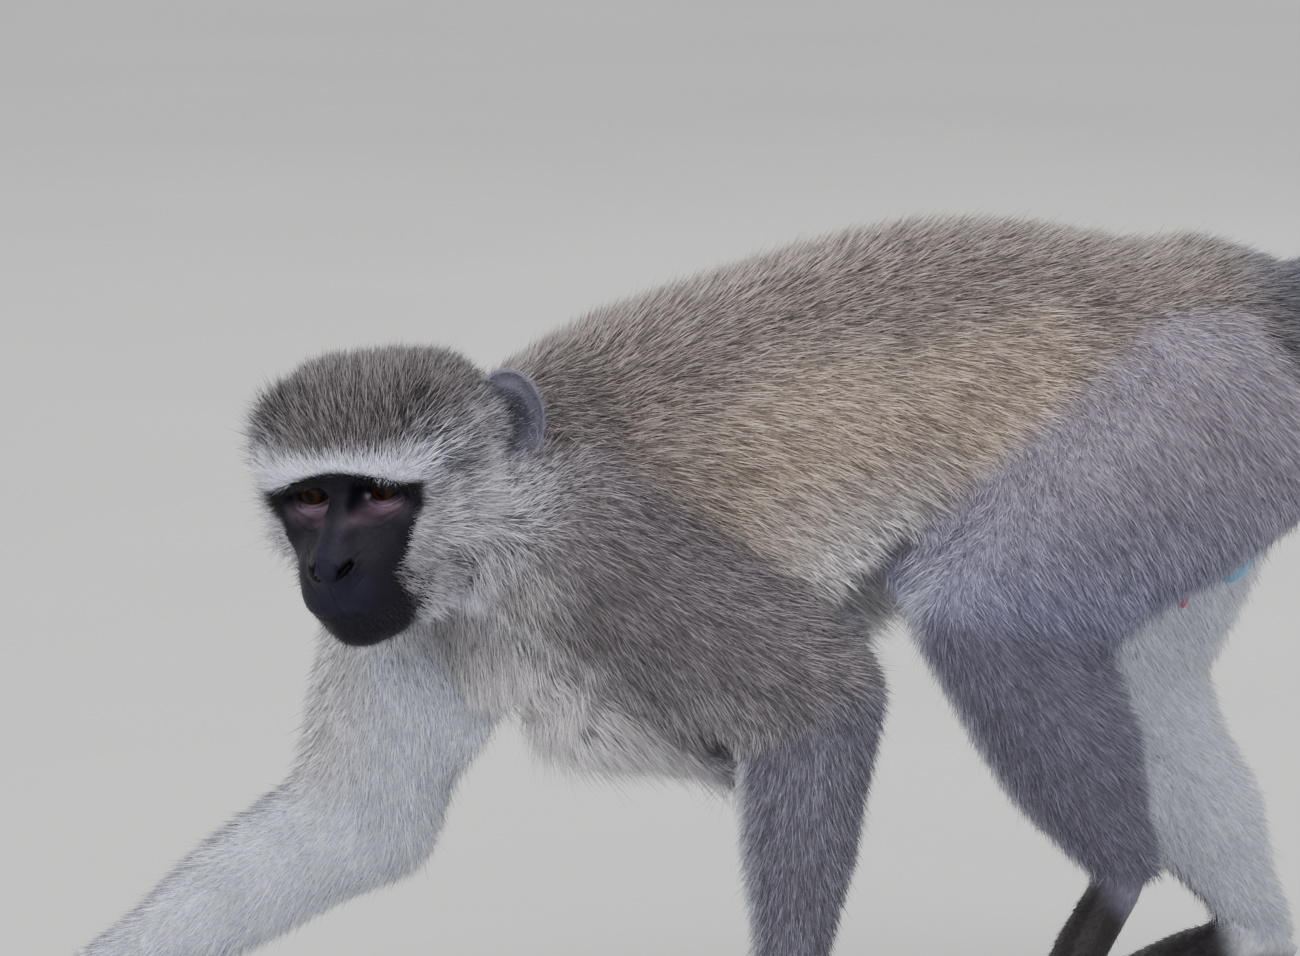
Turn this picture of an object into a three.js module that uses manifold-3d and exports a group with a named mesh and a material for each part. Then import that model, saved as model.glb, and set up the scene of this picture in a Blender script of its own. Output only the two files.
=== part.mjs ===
// A vervet monkey: an adult male in mid-walk, as a still, life-size model.
// Millimetres, +Z up, facing -Y, with its left side on +X and the floor at Z = 0.
// The solids reach out to the tips of the coat. One smooth field of distances describes the whole
// animal, and flat cuts with a thin gap part it into cells. The surface in each cell is a capsule
// whose points are moved out to where the field crosses zero.
import * as THREE from "three";
import { mergeVertices } from "three/addons/utils/BufferGeometryUtils.js";
import Module from "manifold-3d";

const wasm = await Module();
wasm.setup();

const at = (x, y, z) => new THREE.Vector3(x, y, z);
const radians = THREE.MathUtils.degToRad;
const mix = THREE.MathUtils.lerp;

// ---------------------------------------------------------------- driving dimensions
const GAP = 0.3; // between pieces that touch
const MARGIN = 18; // how far a surface runs on past the cut that ends it
const SIDE_MARGIN = 16; // and into a neighbour's cell
const STEP = 4; // of the search from a piece's axis out to its surface
const FLOOR_CUT = 0.9; // how deep the soles are pressed flat

const HUMERUS = 122;
const RADIUS_BONE = 127;
const METACARPUS = 34;
const FEMUR = 142;
const TIBIA = 138;
const TARSUS = 84; // heel joint to the ball of the foot

// Heading 0 is forward, 90 is to the animal's left; down is the angle below level.
function reach(from, length, heading, down) {
  const level = Math.cos(radians(down));
  const way = at(Math.sin(radians(heading)) * level, -Math.cos(radians(heading)) * level, -Math.sin(radians(down)));
  return way.multiplyScalar(length).add(from);
}

// The walk: left hand and right foot are behind, right hand and left foot are ahead.
// inner is where the flat inner face of the limb's cell crosses the height of its joint, and after how
// far its cell reaches behind the bone. The loose white hair behind the right arm is part of its width.
const ARMS = {
  left: { out: 1, shoulder: at(44, -48, 231), humerus: [174, 33], radius: [-6, 86], hand: [2, 54], inner: 32, after: 42 },
  right: { out: -1, shoulder: at(-44, -92, 226), humerus: [2, 76], radius: [4, 29], hand: [4, 60], inner: 22, after: 50 },
};
ARMS.left.behind = [10, [20, 20, 20]];
ARMS.right.behind = [15, [28, 31, 24]];
// The left knee is bent and carries weight, so its shank and calf are fuller.
const LEGS = {
  left: { out: 1, hip: at(38, 230, 283), femur: [17, 36], tibia: [187, 57], foot: [2, 57] },
  right: { out: -1, hip: at(-38, 243, 282), femur: [-45, 80], tibia: [180, 54], foot: [-3, 13] },
};
LEGS.left.shank = [25, 28, 28, 24, 15];
LEGS.left.calf = [25, 32, 31, 18];
LEGS.right.shank = [25, 27, 24, 18, 13];
LEGS.right.calf = [25, 30, 27, 14];

// ---------------------------------------------------------------- fields of distance
function ellipsoid(centre, radii) {
  return (p) => {
    const x = (p.x - centre.x) / radii.x;
    const y = (p.y - centre.y) / radii.y;
    const z = (p.z - centre.z) / radii.z;
    const near = Math.hypot(x, y, z);
    const slope = Math.hypot(x / radii.x, y / radii.y, z / radii.z);
    return slope ? (near * (near - 1)) / slope : -Math.min(radii.x, radii.y, radii.z);
  };
}

// A round limb from a to b whose radius runs smoothly through the list.
function limb(a, b, radii) {
  const span = b.clone().sub(a);
  const squared = span.lengthSq();
  return (p) => {
    const share = THREE.MathUtils.clamp(p.clone().sub(a).dot(span) / squared, 0, 1);
    const place = share * (radii.length - 1);
    const index = Math.min(Math.floor(place), radii.length - 2);
    const radius = mix(radii[index], radii[index + 1], THREE.MathUtils.smoothstep(place - index, 0, 1));
    return p.distanceTo(a.clone().addScaledVector(span, share)) - radius;
  };
}

function smoothMin(a, b, soft) {
  const share = THREE.MathUtils.clamp(0.5 + (0.5 * (b - a)) / soft, 0, 1);
  return mix(b, a, share) - soft * share * (1 - share);
}

const blend = (soft, ...fields) => (p) => fields.map((f) => f(p)).reduce((a, b) => smoothMin(a, b, soft));
const carve = (soft, field, hole) => (p) => -smoothMin(-field(p), hole(p), soft);
const grow = (field, by) => (p) => field(p) - by;
const within = (...fields) => (p) => Math.max(...fields.map((f) => f(p)));

// ---------------------------------------------------------------- wrapping and cutting
function wrap(field, points, { sides = 12, rings = 4, caps = 4 } = {}) {
  const axis = points.length > 2 ? new THREE.CatmullRomCurve3(points) : new THREE.LineCurve3(...points);
  const shape = new THREE.CapsuleGeometry(1, 1, caps, sides, rings);
  shape.deleteAttribute("normal");
  shape.deleteAttribute("uv");
  const capsule = mergeVertices(shape, 1e-4);
  const spots = capsule.getAttribute("position");
  const spot = at(0, 0, 0);
  for (let i = 0; i < spots.count; i++) {
    spot.fromBufferAttribute(spots, i);
    const share = THREE.MathUtils.clamp(spot.y + 0.5, 0, 1);
    const tangent = axis.getTangentAt(share);
    const side = at(1, 0, 0).addScaledVector(tangent, -tangent.x).normalize();
    const front = side.clone().cross(tangent);
    const way = side.multiplyScalar(spot.x);
    way.addScaledVector(tangent, spot.y - share + 0.5).addScaledVector(front, spot.z).normalize();
    const start = axis.getPointAt(share);
    spot.copy(start).addScaledVector(way, distanceOut(field, start, way));
    spots.setXYZ(i, spot.x, spot.y, spot.z);
  }
  return capsule;
}

function distanceOut(field, start, way) {
  const probe = (far) => field(start.clone().addScaledVector(way, far));
  let inside = 0;
  let outside = STEP;
  while (probe(outside) < 0) {
    inside = outside;
    outside += STEP;
  }
  for (let i = 0; i < 12; i++) {
    const middle = (inside + outside) / 2;
    if (probe(middle) < 0) inside = middle;
    else outside = middle;
  }
  return inside;
}

function solidOf(geometry) {
  const bare = geometry.clone();
  for (const name of ["normal", "uv"]) bare.deleteAttribute(name);
  const merged = mergeVertices(bare, 1e-4);
  return new wasm.Manifold(
    new wasm.Mesh({
      numProp: 3,
      vertProperties: new Float32Array(merged.getAttribute("position").array),
      triVerts: new Uint32Array(merged.index.array),
    }),
  );
}

function geometryOf(solid) {
  const mesh = solid.getMesh();
  const spots = new THREE.BufferAttribute(new Float32Array(mesh.vertProperties), 3);
  const geometry = new THREE.BufferGeometry().setAttribute("position", spots);
  return geometry.setIndex(new THREE.BufferAttribute(new Uint32Array(mesh.triVerts), 1));
}

const join = (...solids) => solids.reduce((a, b) => a.add(b));
const largest = (solid) => solid.decompose().sort((a, b) => b.volume() - a.volume())[0];

// A cell is a list of planes, each a point and the unit normal that points out of the cell.
const plane = (point, normal) => [point, normal.clone().normalize()];
const turned = ([point, normal]) => [point, normal.clone().negate()];
const cellField = (planes) => (p) =>
  Math.max(...planes.map(([point, normal]) => p.clone().sub(point).dot(normal)));
const ROOM = 2400;
const room = solidOf(new THREE.BoxGeometry(ROOM, ROOM, ROOM));

function cellSolid(planes, growth) {
  const cut = (solid, [point, normal]) =>
    solid.trimByPlane(normal.clone().negate().toArray(), -point.dot(normal) - growth);
  return planes.reduce(cut, room);
}

// The part of a field's surface that lies in a cell and in none of the cells left out.
function cellPiece(field, planes, axis, mesh, leftOut = []) {
  const outside = leftOut.map((cell) => (p) => -cellField(cell)(p) - SIDE_MARGIN);
  const bounded = within(field, grow(cellField(planes), MARGIN), ...outside);
  const blank = solidOf(wrap(bounded, axis, mesh)).intersect(cellSolid(planes, -GAP / 2));
  return largest(leftOut.reduce((solid, cell) => solid.subtract(cellSolid(cell, GAP / 2)), blank));
}

// ---------------------------------------------------------------- materials
const finish = (colour, roughness) => new THREE.MeshStandardMaterial({ color: colour, roughness, metalness: 0 });
const MATERIALS = {
  back: finish(0x7c7163, 0.9),
  limb: finish(0x77767c, 0.9),
  pale: finish(0xc9c6c3, 0.9),
  tail: finish(0x6d6c71, 0.9),
  bare: finish(0x26232b, 0.55),
  eye: finish(0x4a2310, 0.1),
  blue: finish(0x4a86b8, 0.5),
  red: finish(0xa12c45, 0.5),
};

const monkey = new THREE.Group();

// A named node whose geometry is measured from its own pivot.
function place(name, geometry, material, pivot, parent = monkey) {
  const mesh = new THREE.Mesh(geometry.translate(-pivot.x, -pivot.y, -pivot.z), MATERIALS[material]);
  mesh.name = name;
  mesh.position.copy(pivot);
  mesh.geometry.computeVertexNormals();
  parent.add(mesh);
}

// ---------------------------------------------------------------- trunk
// Stations along the back: place, height of the back, height of the belly, half width.
const STATIONS = [
  [-46, 316, 148, 50],
  [-23, 329, 138, 57],
  [10, 340, 131, 60],
  [34, 347, 122, 60],
  [56, 353, 142, 60],
  [90, 361, 178, 57],
  [125, 365, 198, 54],
  [160, 364, 208, 52],
  [195, 358, 216, 53],
  [230, 350, 224, 54],
  [262, 344, 236, 51],
];
const SQUARENESS = 2.3; // of the trunk's section: 2 is an ellipse
const stationCurve = (column) =>
  new THREE.CatmullRomCurve3(STATIONS.map((row) => at(row[0], row[column], 0)), false, "centripetal");
const [TOP, BOTTOM, SIDE] = [1, 2, 3].map((column) => stationCurve(column).getPoints(160));

function outlineAt(points, y) {
  const last = points.length - 1;
  if (y <= points[0].x) return points[0].y;
  if (y >= points[last].x) return points[last].y;
  const next = points.findIndex((point) => point.x > y);
  const [a, b] = [points[next - 1], points[next]];
  return mix(a.y, b.y, (y - a.x) / (b.x - a.x));
}

function trunkTube(p) {
  const bottom = outlineAt(BOTTOM, p.y);
  const wide = outlineAt(SIDE, p.y);
  const high = (outlineAt(TOP, p.y) - bottom) / 2;
  const x = Math.abs(p.x) / wide;
  const z = Math.abs(p.z - bottom - high) / high;
  const side = (Math.pow(x ** SQUARENESS + z ** SQUARENESS, 1 / SQUARENESS) - 1) * wide;
  const ends = Math.max(STATIONS[0][0] - p.y, p.y - STATIONS.at(-1)[0]);
  return Math.max(side, ends);
}

const brisket = ellipsoid(at(0, -40, 226), at(50, 52, 78));
const rump = ellipsoid(at(0, 258, 294), at(52, 46, 52));

// ---------------------------------------------------------------- head, in its own frame
// Its origin is midway between the eyes: +X is its left, -Y its front and +Z its crown.
const HEAD_AT = at(46, -148, 259);
const HEAD_TURN = radians(46); // to the left
const HEAD_DIP = radians(18);
const HEAD_TILT = radians(7); // left side raised
const EYE = { side: 17.5, back: 7.5, up: 2.2, radius: 9.2 };
const EAR = { side: 53, back: 60, height: 10, tall: 22, wide: 17.5, thick: 8, turn: 36, lean: 12, root: 44 };

const headGroup = new THREE.Group();
headGroup.position.copy(HEAD_AT);
headGroup.rotation.set(HEAD_DIP, -HEAD_TILT, HEAD_TURN, "ZXY");
headGroup.updateMatrixWorld(true);
const toHead = headGroup.matrixWorld.clone().invert();
const fromHead = (x, y, z) => at(x, y, z).applyMatrix4(headGroup.matrixWorld);

const bothSides = (make) => [1, -1].map(make);
const skullField = blend(
  12,
  ellipsoid(at(0, 42, 10), at(47, 48, 38)), // crown
  ...bothSides((s) => ellipsoid(at(s * 33, 30, 24), at(26, 27, 23))), // hair on the temples
  ellipsoid(at(0, 15, 14), at(34, 19, 17)), // forehead
  ...bothSides((s) => ellipsoid(at(s * 39, 30, -8), at(23, 22, 33))), // cheek whiskers
  ellipsoid(at(0, 42, -28), at(34, 38, 28)), // throat
);
const faceField = blend(
  6,
  limb(at(-24, 4, 13), at(24, 4, 13), [6, 9, 8, 9, 6]), // brow ridge
  ...bothSides((s) => ellipsoid(at(s * 19, 10, -14), at(16, 15, 13))), // cheekbones
  ...bothSides((s) => limb(at(s * 22, 38, -34), at(s * 9, -8, -45), [13, 13, 11])), // jaw
  limb(at(0, 3, 0), at(0, -25, -20), [6.5, 5.5, 6]), // bridge of the nose
  ellipsoid(at(0, -8, -28), at(19, 25, 19)), // muzzle
  ...bothSides((s) => ellipsoid(at(s * 9, -12, -35), at(12, 20, 13))), // upper lip
  ellipsoid(at(0, -7, -50), at(14, 18, 12)), // chin
);
const orbits = (p) =>
  Math.min(...bothSides((s) => ellipsoid(at(s * EYE.side, -3, EYE.up), at(10.5, 8.5, 6.5))(p)));
const headLocal = carve(5, blend(8, skullField, faceField), orbits);
const headField = (p) => headLocal(p.clone().applyMatrix4(toHead));

// ---------------------------------------------------------------- neck, arms, legs and tail
const neckField = blend(
  18,
  limb(at(0, -30, 262), fromHead(0, 50, -8), [52, 38, 28]), // nape
  limb(at(0, -44, 206), fromHead(0, 40, -32), [52, 43, 28]), // ruff under the throat
);

const bend = (a, joint, b) => joint.clone().sub(a).normalize().add(b.clone().sub(joint).normalize());

for (const arm of Object.values(ARMS)) {
  arm.elbow = reach(arm.shoulder, HUMERUS, ...arm.humerus);
  arm.wrist = reach(arm.elbow, RADIUS_BONE, ...arm.radius);
  arm.knuckles = reach(arm.wrist, METACARPUS, ...arm.hand);
  const blade = arm.shoulder.clone().add(at(-arm.out * 14, 46, 62));
  const triceps = (share) => arm.shoulder.clone().lerp(arm.elbow, share).add(at(0, arm.behind[0], 0));
  arm.field = blend(
    22,
    limb(blade, arm.shoulder, [20, 32, 33]),
    limb(arm.shoulder, arm.elbow, [34, 34, 31, 27]),
    limb(arm.elbow, arm.wrist, [27, 29, 26, 15]),
    limb(triceps(0.15), triceps(1.02), arm.behind[1]),
  );
}

for (const leg of Object.values(LEGS)) {
  leg.knee = reach(leg.hip, FEMUR, ...leg.femur);
  leg.ankle = reach(leg.knee, TIBIA, ...leg.tibia);
  leg.ball = reach(leg.ankle, TARSUS, ...leg.foot);
  const down = (share, back) => leg.knee.clone().lerp(leg.ankle, share).add(at(0, back, 0));
  const seat = leg.hip.clone().add(at(leg.out * 4, 48, -20));
  leg.field = blend(
    16,
    limb(leg.hip, leg.knee, [42, 42, 38, 25]),
    limb(seat, down(0.12, 10), [32, 33, 27, 22]), // hamstrings
    limb(leg.knee, leg.ankle, leg.shank),
    limb(down(0.08, 15), down(0.8, 14), leg.calf),
  );
}

const TAIL_FROM = at(0, 284, 327);
const TAIL_COURSE = [
  [0, 0, 0],
  [0, 46, -8],
  [-4, 94, -42],
  [-10, 124, -98],
  [-16, 144, -160],
  [-20, 180, -216],
  [-22, 236, -250],
  [-22, 300, -254],
  [-20, 360, -232],
  [-16, 410, -194],
  [-12, 446, -150],
];
const TAIL_THICK = [24, 20, 17.5, 16, 15, 14, 13, 12, 11, 9.5, 7];
const TAIL_STEPS = 30;
const TAIL_CUTS = [0, 0.36, 0.7];
const tailPath = new THREE.CatmullRomCurve3(TAIL_COURSE.map((p) => at(...p).add(TAIL_FROM)));
const tailPoints = tailPath.getSpacedPoints(TAIL_STEPS);

function tailThick(share) {
  const place = share * (TAIL_THICK.length - 1);
  const index = Math.min(Math.floor(place), TAIL_THICK.length - 2);
  return mix(TAIL_THICK[index], TAIL_THICK[index + 1], place - index);
}

const tailBits = tailPoints.slice(1).map((point, i) => {
  const radii = [i / TAIL_STEPS, (i + 1) / TAIL_STEPS].map(tailThick);
  return limb(tailPoints[i], point, radii);
});
const tailField = (p) => Math.min(...tailBits.map((bit) => bit(p)));
const tailRootField = limb(TAIL_FROM.clone().add(at(0, -40, -10)), tailPoints[3], [32, 24, 19.5]);

const SCROTUM = { centre: at(0, 267, 217), radii: [13.5, 12.5, 21] };
const PREPUCE = { from: at(0, 246, 226), to: at(0, 246, 192), radii: [6, 6, 4.5] };
function scrotum(growth) {
  const shape = new THREE.SphereGeometry(1, 10, 7).scale(...SCROTUM.radii.map((r) => r + growth));
  return solidOf(shape.translate(...SCROTUM.centre.toArray()));
}
function prepuce(growth) {
  const { from, to, radii } = PREPUCE;
  return solidOf(wrap(grow(limb(from, to, radii), growth), [from, to], { sides: 8, rings: 2, caps: 2 }));
}

// ---------------------------------------------------------------- the whole animal
const limbFields = [...Object.values(ARMS), ...Object.values(LEGS)].map(({ field }) => field);
const body = blend(18, trunkTube, brisket, rump, neckField, tailRootField, ...limbFields);
const animal = blend(7, body, headField);

// ---------------------------------------------------------------- cells
const NECK_END = plane(at(0, -46, 250), at(0.22, -0.97, 0.1));
const HEAD_END = plane(fromHead(0, 84, -20), at(0.42, -0.9, 0));
const WAIST = plane(at(0, 98, 270), at(0, 1, 0));
const LOIN_END = plane(at(0, 186, 285), at(0, 1, 0));
const tailPlane = (share) => plane(tailPath.getPointAt(share), tailPath.getTangentAt(share));
const TAIL_PLANES = TAIL_CUTS.map(tailPlane);
TAIL_PLANES[0] = plane(at(0, 296, 328), at(0, 0.86, 0.51)); // slants forward to clear the rump
const SIDE_SLOPE = 0.21; // how far a shoulder's inner face leans out with height
const HIP_SLOPE = 0.5;

// A cell round the first bone of a limb: flat above, before, behind, inside and at the far joint.
function limbCell({ out, start, joint, end, inner, slope, above, before, after }) {
  const down = joint.clone().sub(start).normalize();
  const back = at(1, 0, 0).cross(down).normalize();
  if (back.y < 0) back.negate();
  return [
    plane(start.clone().addScaledVector(down, -above), down.clone().negate()),
    plane(start.clone().addScaledVector(back, after), back),
    plane(start.clone().addScaledVector(back, -before), back.clone().negate()),
    plane(at(out * inner, 0, start.z), at(-out, 0, slope)),
    plane(at(out * GAP, 0, 0), at(-out, 0, 0)),
    plane(joint, bend(start, joint, end)),
  ];
}

for (const arm of Object.values(ARMS)) {
  const { out, shoulder, elbow, wrist, inner, after } = arm;
  const shape = { inner, slope: SIDE_SLOPE, above: 28, before: 42, after };
  arm.cell = limbCell({ out, start: shoulder, joint: elbow, end: wrist, ...shape });
}
for (const leg of Object.values(LEGS)) {
  const { out, hip, knee, ankle } = leg;
  const shape = { inner: 26, slope: HIP_SLOPE, above: 42, before: 43, after: 92 };
  leg.cell = limbCell({ out, start: hip, joint: knee, end: ankle, ...shape });
}

// A limb's cell made longer, so that it holds the start of the second bone as well.
const ARM_LOWER = 90;
const LEG_LOWER = 30;
const longer = (by) => ({ cell }) => {
  const [point, normal] = cell.at(-1);
  return [...cell.slice(0, -1), plane(point.clone().addScaledVector(normal, by), normal)];
};
const armCells = Object.values(ARMS).map(longer(ARM_LOWER));
const legCells = Object.values(LEGS).map(longer(LEG_LOWER));
const thighCells = Object.values(LEGS).map(({ cell }) => cell);

// The chest hangs down beside the top of the left forearm, so the forearms are left out of it too.
const forearmCells = Object.values(ARMS).map(({ out, elbow, wrist, knuckles }) => {
  const shape = { inner: 22, slope: 0, above: 30, before: 30, after: 31 };
  return limbCell({ out, start: elbow, joint: wrist, end: knuckles, ...shape });
});

// ---------------------------------------------------------------- hands and feet
// Each digit: how far to its side it starts, its splay and its length. Side and splay grow outwards.
const FINGERS = [
  [-12, -12, 37],
  [-4.5, -3, 42],
  [4, 4, 41],
  [11.5, 13, 35],
];
const TOES = [
  [-10, -8, 38],
  [-3, -1, 43],
  [5, 5, 42],
  [12, 13, 37],
];
const THUMB = { start: 0.3, side: 11, splay: 38, length: 30, thick: 5 };
const BIG_TOE = { start: 0.42, side: 13, splay: 34, length: 44, thick: 6 };
const DIGIT_THICK = [5.4, 4.9, 4.3]; // radius at the root, middle and tip

const floor = cellSolid([plane(at(0, 0, 0), at(0, 0, 1))], 0);

function digit(root, heading, length, [first, second, last]) {
  const middle = reach(root, length * 0.48, heading, 0).setZ(first + 3.6);
  const tip = reach(root, length, heading, 0).setZ(last - FLOOR_CUT);
  const field = blend(2, limb(root, middle, [first, second]), limb(middle, tip, [second, last]));
  return solidOf(wrap(field, [root, middle, tip], { sides: 6, rings: 2, caps: 1 }));
}

// A hand or foot that leans from its joint down to the ball and lies on its digits.
function paw({ out, above, joint, ball, heading, digits, inner, palm, heel }) {
  const across = (far) => reach(at(0, 0, 0), far * out, heading + 90, 0);
  const level = DIGIT_THICK[0] + 1.8 - FLOOR_CUT;
  const roots = digits.map(([side]) => ball.clone().add(across(side)).setZ(level));
  const field = blend(5, ...roots.map((root) => limb(joint, root, palm)), ...heel);
  const cell = [turned(plane(joint, bend(above, joint, ball)))];
  const body = cellPiece(field, cell, [joint.clone().lerp(ball, -0.12), ball], { sides: 10, rings: 2, caps: 2 });
  const innerRoot = joint.clone().lerp(ball, inner.start).add(across(-inner.side));
  const innerThick = [inner.thick, inner.thick, inner.thick * 0.85];
  const long = roots.map((root, i) => digit(root, heading + out * digits[i][1], digits[i][2], DIGIT_THICK));
  const short = digit(innerRoot, heading - out * inner.splay, inner.length, innerThick);
  return join(body, short, ...long).subtract(floor);
}

function hand({ out, elbow, wrist, knuckles, hand: [heading] }) {
  const shape = { digits: FINGERS, inner: THUMB, palm: [14, 9, 7.4], heel: [] };
  return paw({ out, above: elbow, joint: wrist, ball: knuckles, heading, ...shape });
}

function foot({ out, knee, ankle, ball, foot: [heading] }) {
  const heel = [limb(ankle, ankle.clone().add(at(0, 13, -8)), [12, 10])];
  const shape = { digits: TOES, inner: BIG_TOE, palm: [12.5, 10, 7.6], heel };
  return paw({ out, above: knee, joint: ankle, ball, heading, ...shape });
}

// ---------------------------------------------------------------- pieces of the limbs and tail
function firstBone(cell, start, joint, mesh, leftOut = []) {
  return cellPiece(animal, cell, [start, start.clone().lerp(joint, 1.06)], mesh, leftOut);
}

function secondBone(field, above, from, to, beyond, mesh) {
  const cell = [turned(plane(from, bend(above, from, to))), plane(to, bend(from, to, beyond))];
  return cellPiece(field, cell, [from.clone().lerp(to, -0.06), from.clone().lerp(to, 1.06)], mesh);
}

function tailPiece(index) {
  const from = TAIL_CUTS[index];
  const to = TAIL_CUTS[index + 1] ?? 1;
  const cell = [turned(TAIL_PLANES[index])];
  if (index + 1 < TAIL_CUTS.length) cell.push(TAIL_PLANES[index + 1]);
  const over = 0.015;
  const start = index ? from - over : 2 * over;
  const end = cell.length > 1 ? to + over : to - over;
  const points = Array.from({ length: 6 }, (_, i) => tailPath.getPointAt(mix(start, end, i / 5)));
  const field = index ? tailField : blend(10, tailField, tailRootField);
  return cellPiece(field, cell, points, { sides: 10, rings: 8, caps: 1 });
}

// ---------------------------------------------------------------- pieces of the head
const headSpace = (field) => (p) => field(p.clone().applyMatrix4(headGroup.matrixWorld));
const sphere = (centre, radius) =>
  solidOf(new THREE.SphereGeometry(radius, 10, 7).translate(...centre.toArray()));
const eyeCentre = (s) => at(s * EYE.side, EYE.back, EYE.up);

// The face is parted from the head by a slanting cut under the eyes.
const FACE = plane(at(0, -3, -12), at(0, -0.85, -0.53));
const inHead = ([point, normal]) => [point.clone().applyMatrix4(toHead), normal.clone().transformDirection(toHead)];
const headCell = [turned(inHead(HEAD_END)), FACE];
const faceCell = [turned(FACE)];
const armCellsInHead = armCells.map((cell) => cell.map(inHead));

// A shallow cup standing off the side of the head, cut flat at its root.
function ear(s, growth = 0) {
  const bowlShare = 0.87;
  const radii = [EAR.thick, EAR.wide, EAR.tall];
  const cup = new THREE.SphereGeometry(1, 11, 7).scale(...radii.map((r) => r + growth));
  const bowl = new THREE.SphereGeometry(1, 11, 7).scale(...radii.map((r) => r * bowlShare - growth));
  bowl.translate(EAR.thick * 0.6, -1, 0);
  const [outer, inner] = [cup, bowl].map((shape) => {
    shape.rotateX(radians(-EAR.lean)).rotateZ(radians(-EAR.turn));
    const solid = solidOf(shape);
    return (s < 0 ? solid.mirror([1, 0, 0]) : solid).translate([s * EAR.side, EAR.back, EAR.height]);
  });
  const root = plane(at(s * (EAR.root - growth), 0, 0), at(-s, 0, 0));
  return outer.subtract(inner).intersect(cellSolid([root], 0));
}

// ---------------------------------------------------------------- assembly
const origin = at(0, 0, 0);
const headMesh = { sides: 26, rings: 2, caps: 7 };
const faceMesh = { sides: 24, rings: 1, caps: 7 };
const headAxis = [at(0, 52, 0), at(0, 24, -3)];
const faceAxis = [at(0, -6, -34), at(0, -10, -38)];
const headSurface = headSpace(animal);
const sockets = bothSides((s) => sphere(eyeCentre(s), EYE.radius + GAP));
const earSlots = bothSides((s) => ear(s, GAP));
const head = cellPiece(headSurface, headCell, headAxis, headMesh, armCellsInHead);
const face = cellPiece(headLocal, faceCell, faceAxis, faceMesh);
place("head", geometryOf(largest(head.subtract(join(...sockets, ...earSlots)))), "back", origin, headGroup);
place("face", geometryOf(largest(face.subtract(join(...sockets)))), "bare", FACE[0], headGroup);
for (const [side, s] of [["left", 1], ["right", -1]]) {
  place(`eye_${side}`, geometryOf(sphere(eyeCentre(s), EYE.radius)), "eye", eyeCentre(s), headGroup);
  place(`ear_${side}`, geometryOf(ear(s)), "bare", at(s * EAR.side, EAR.back, EAR.height), headGroup);
}
monkey.add(headGroup);

const groinSlots = join(scrotum(GAP), prepuce(GAP));
place("scrotum", geometryOf(scrotum(0)), "blue", SCROTUM.centre);
place("prepuce", geometryOf(prepuce(0).subtract(scrotum(GAP))), "red", PREPUCE.from);
const earSlotsInBody = join(...earSlots).transform(headGroup.matrixWorld.toArray());
const HIPS_AXIS = [at(0, 178, 286), at(0, 238, 292), at(0, 296, 326)];
const TRUNK = {
  neck: { cell: [HEAD_END, turned(NECK_END)], axis: [at(0, -52, 246), at(8, -90, 260)], sides: 24, rings: 2, caps: 3 },
  chest: { cell: [NECK_END, WAIST], axis: [at(0, -46, 256), at(0, 106, 256)], sides: 24, rings: 7, caps: 2 },
  loin: { cell: [turned(WAIST), LOIN_END], axis: [at(0, 90, 280), at(0, 194, 280)], sides: 22, rings: 5, caps: 1 },
  hips: { cell: [turned(LOIN_END), TAIL_PLANES[0]], axis: HIPS_AXIS, sides: 22, rings: 6, caps: 3 },
};
for (const [name, { cell, axis, ...mesh }] of Object.entries(TRUNK)) {
  const solid = cellPiece(animal, cell, axis, mesh, [...armCells, ...forearmCells, ...legCells]);
  const slots = { neck: earSlotsInBody, hips: groinSlots }[name];
  const cut = slots ? largest(solid.subtract(slots)) : solid;
  place(name, geometryOf(cut), name === "neck" ? "pale" : "back", axis[0]);
}

const upperMesh = { sides: 18, rings: 4, caps: 4 };
const lowerMesh = { sides: 12, rings: 5, caps: 2 };
for (const [side, arm] of Object.entries(ARMS)) {
  const { out, shoulder, elbow, wrist, knuckles, field, cell } = arm;
  const start = shoulder.clone().add(at(out * 8, 4, 0));
  place(`upper_arm_${side}`, geometryOf(firstBone(cell, start, elbow, upperMesh, thighCells)), "limb", shoulder);
  const lower = secondBone(field, shoulder, elbow, wrist, knuckles, lowerMesh);
  place(`forearm_${side}`, geometryOf(lower), "limb", elbow);
  place(`hand_${side}`, geometryOf(hand(arm)), "bare", wrist);
}
for (const [side, leg] of Object.entries(LEGS)) {
  const { out, hip, knee, ankle, ball, field, cell } = leg;
  const start = hip.clone().add(at(out * 10, 16, -6));
  const upper = firstBone(cell, start, knee, upperMesh).subtract(groinSlots);
  place(`thigh_${side}`, geometryOf(largest(upper)), "limb", hip);
  const lower = secondBone(field, hip, knee, ankle, ball, lowerMesh);
  place(`shank_${side}`, geometryOf(lower), "limb", knee);
  place(`foot_${side}`, geometryOf(foot(leg)), "bare", ankle);
}
["tail_root", "tail_middle", "tail_tip"].forEach((name, i) => {
  place(name, geometryOf(tailPiece(i)), "tail", TAIL_PLANES[i][0]);
});

// The origin goes to the middle of the underside of the whole.
const bounds = new THREE.Box3().setFromObject(monkey, true);
const middle = bounds.getCenter(at(0, 0, 0));
monkey.position.set(-middle.x, -middle.y, -bounds.min.z);

export default monkey;
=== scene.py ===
"""A still, life-size vervet monkey: one skin, eyes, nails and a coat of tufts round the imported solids."""

import math

import bmesh
import bpy
import numpy as np
from mathutils import Matrix, Vector
from mathutils.bvhtree import BVHTree


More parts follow.
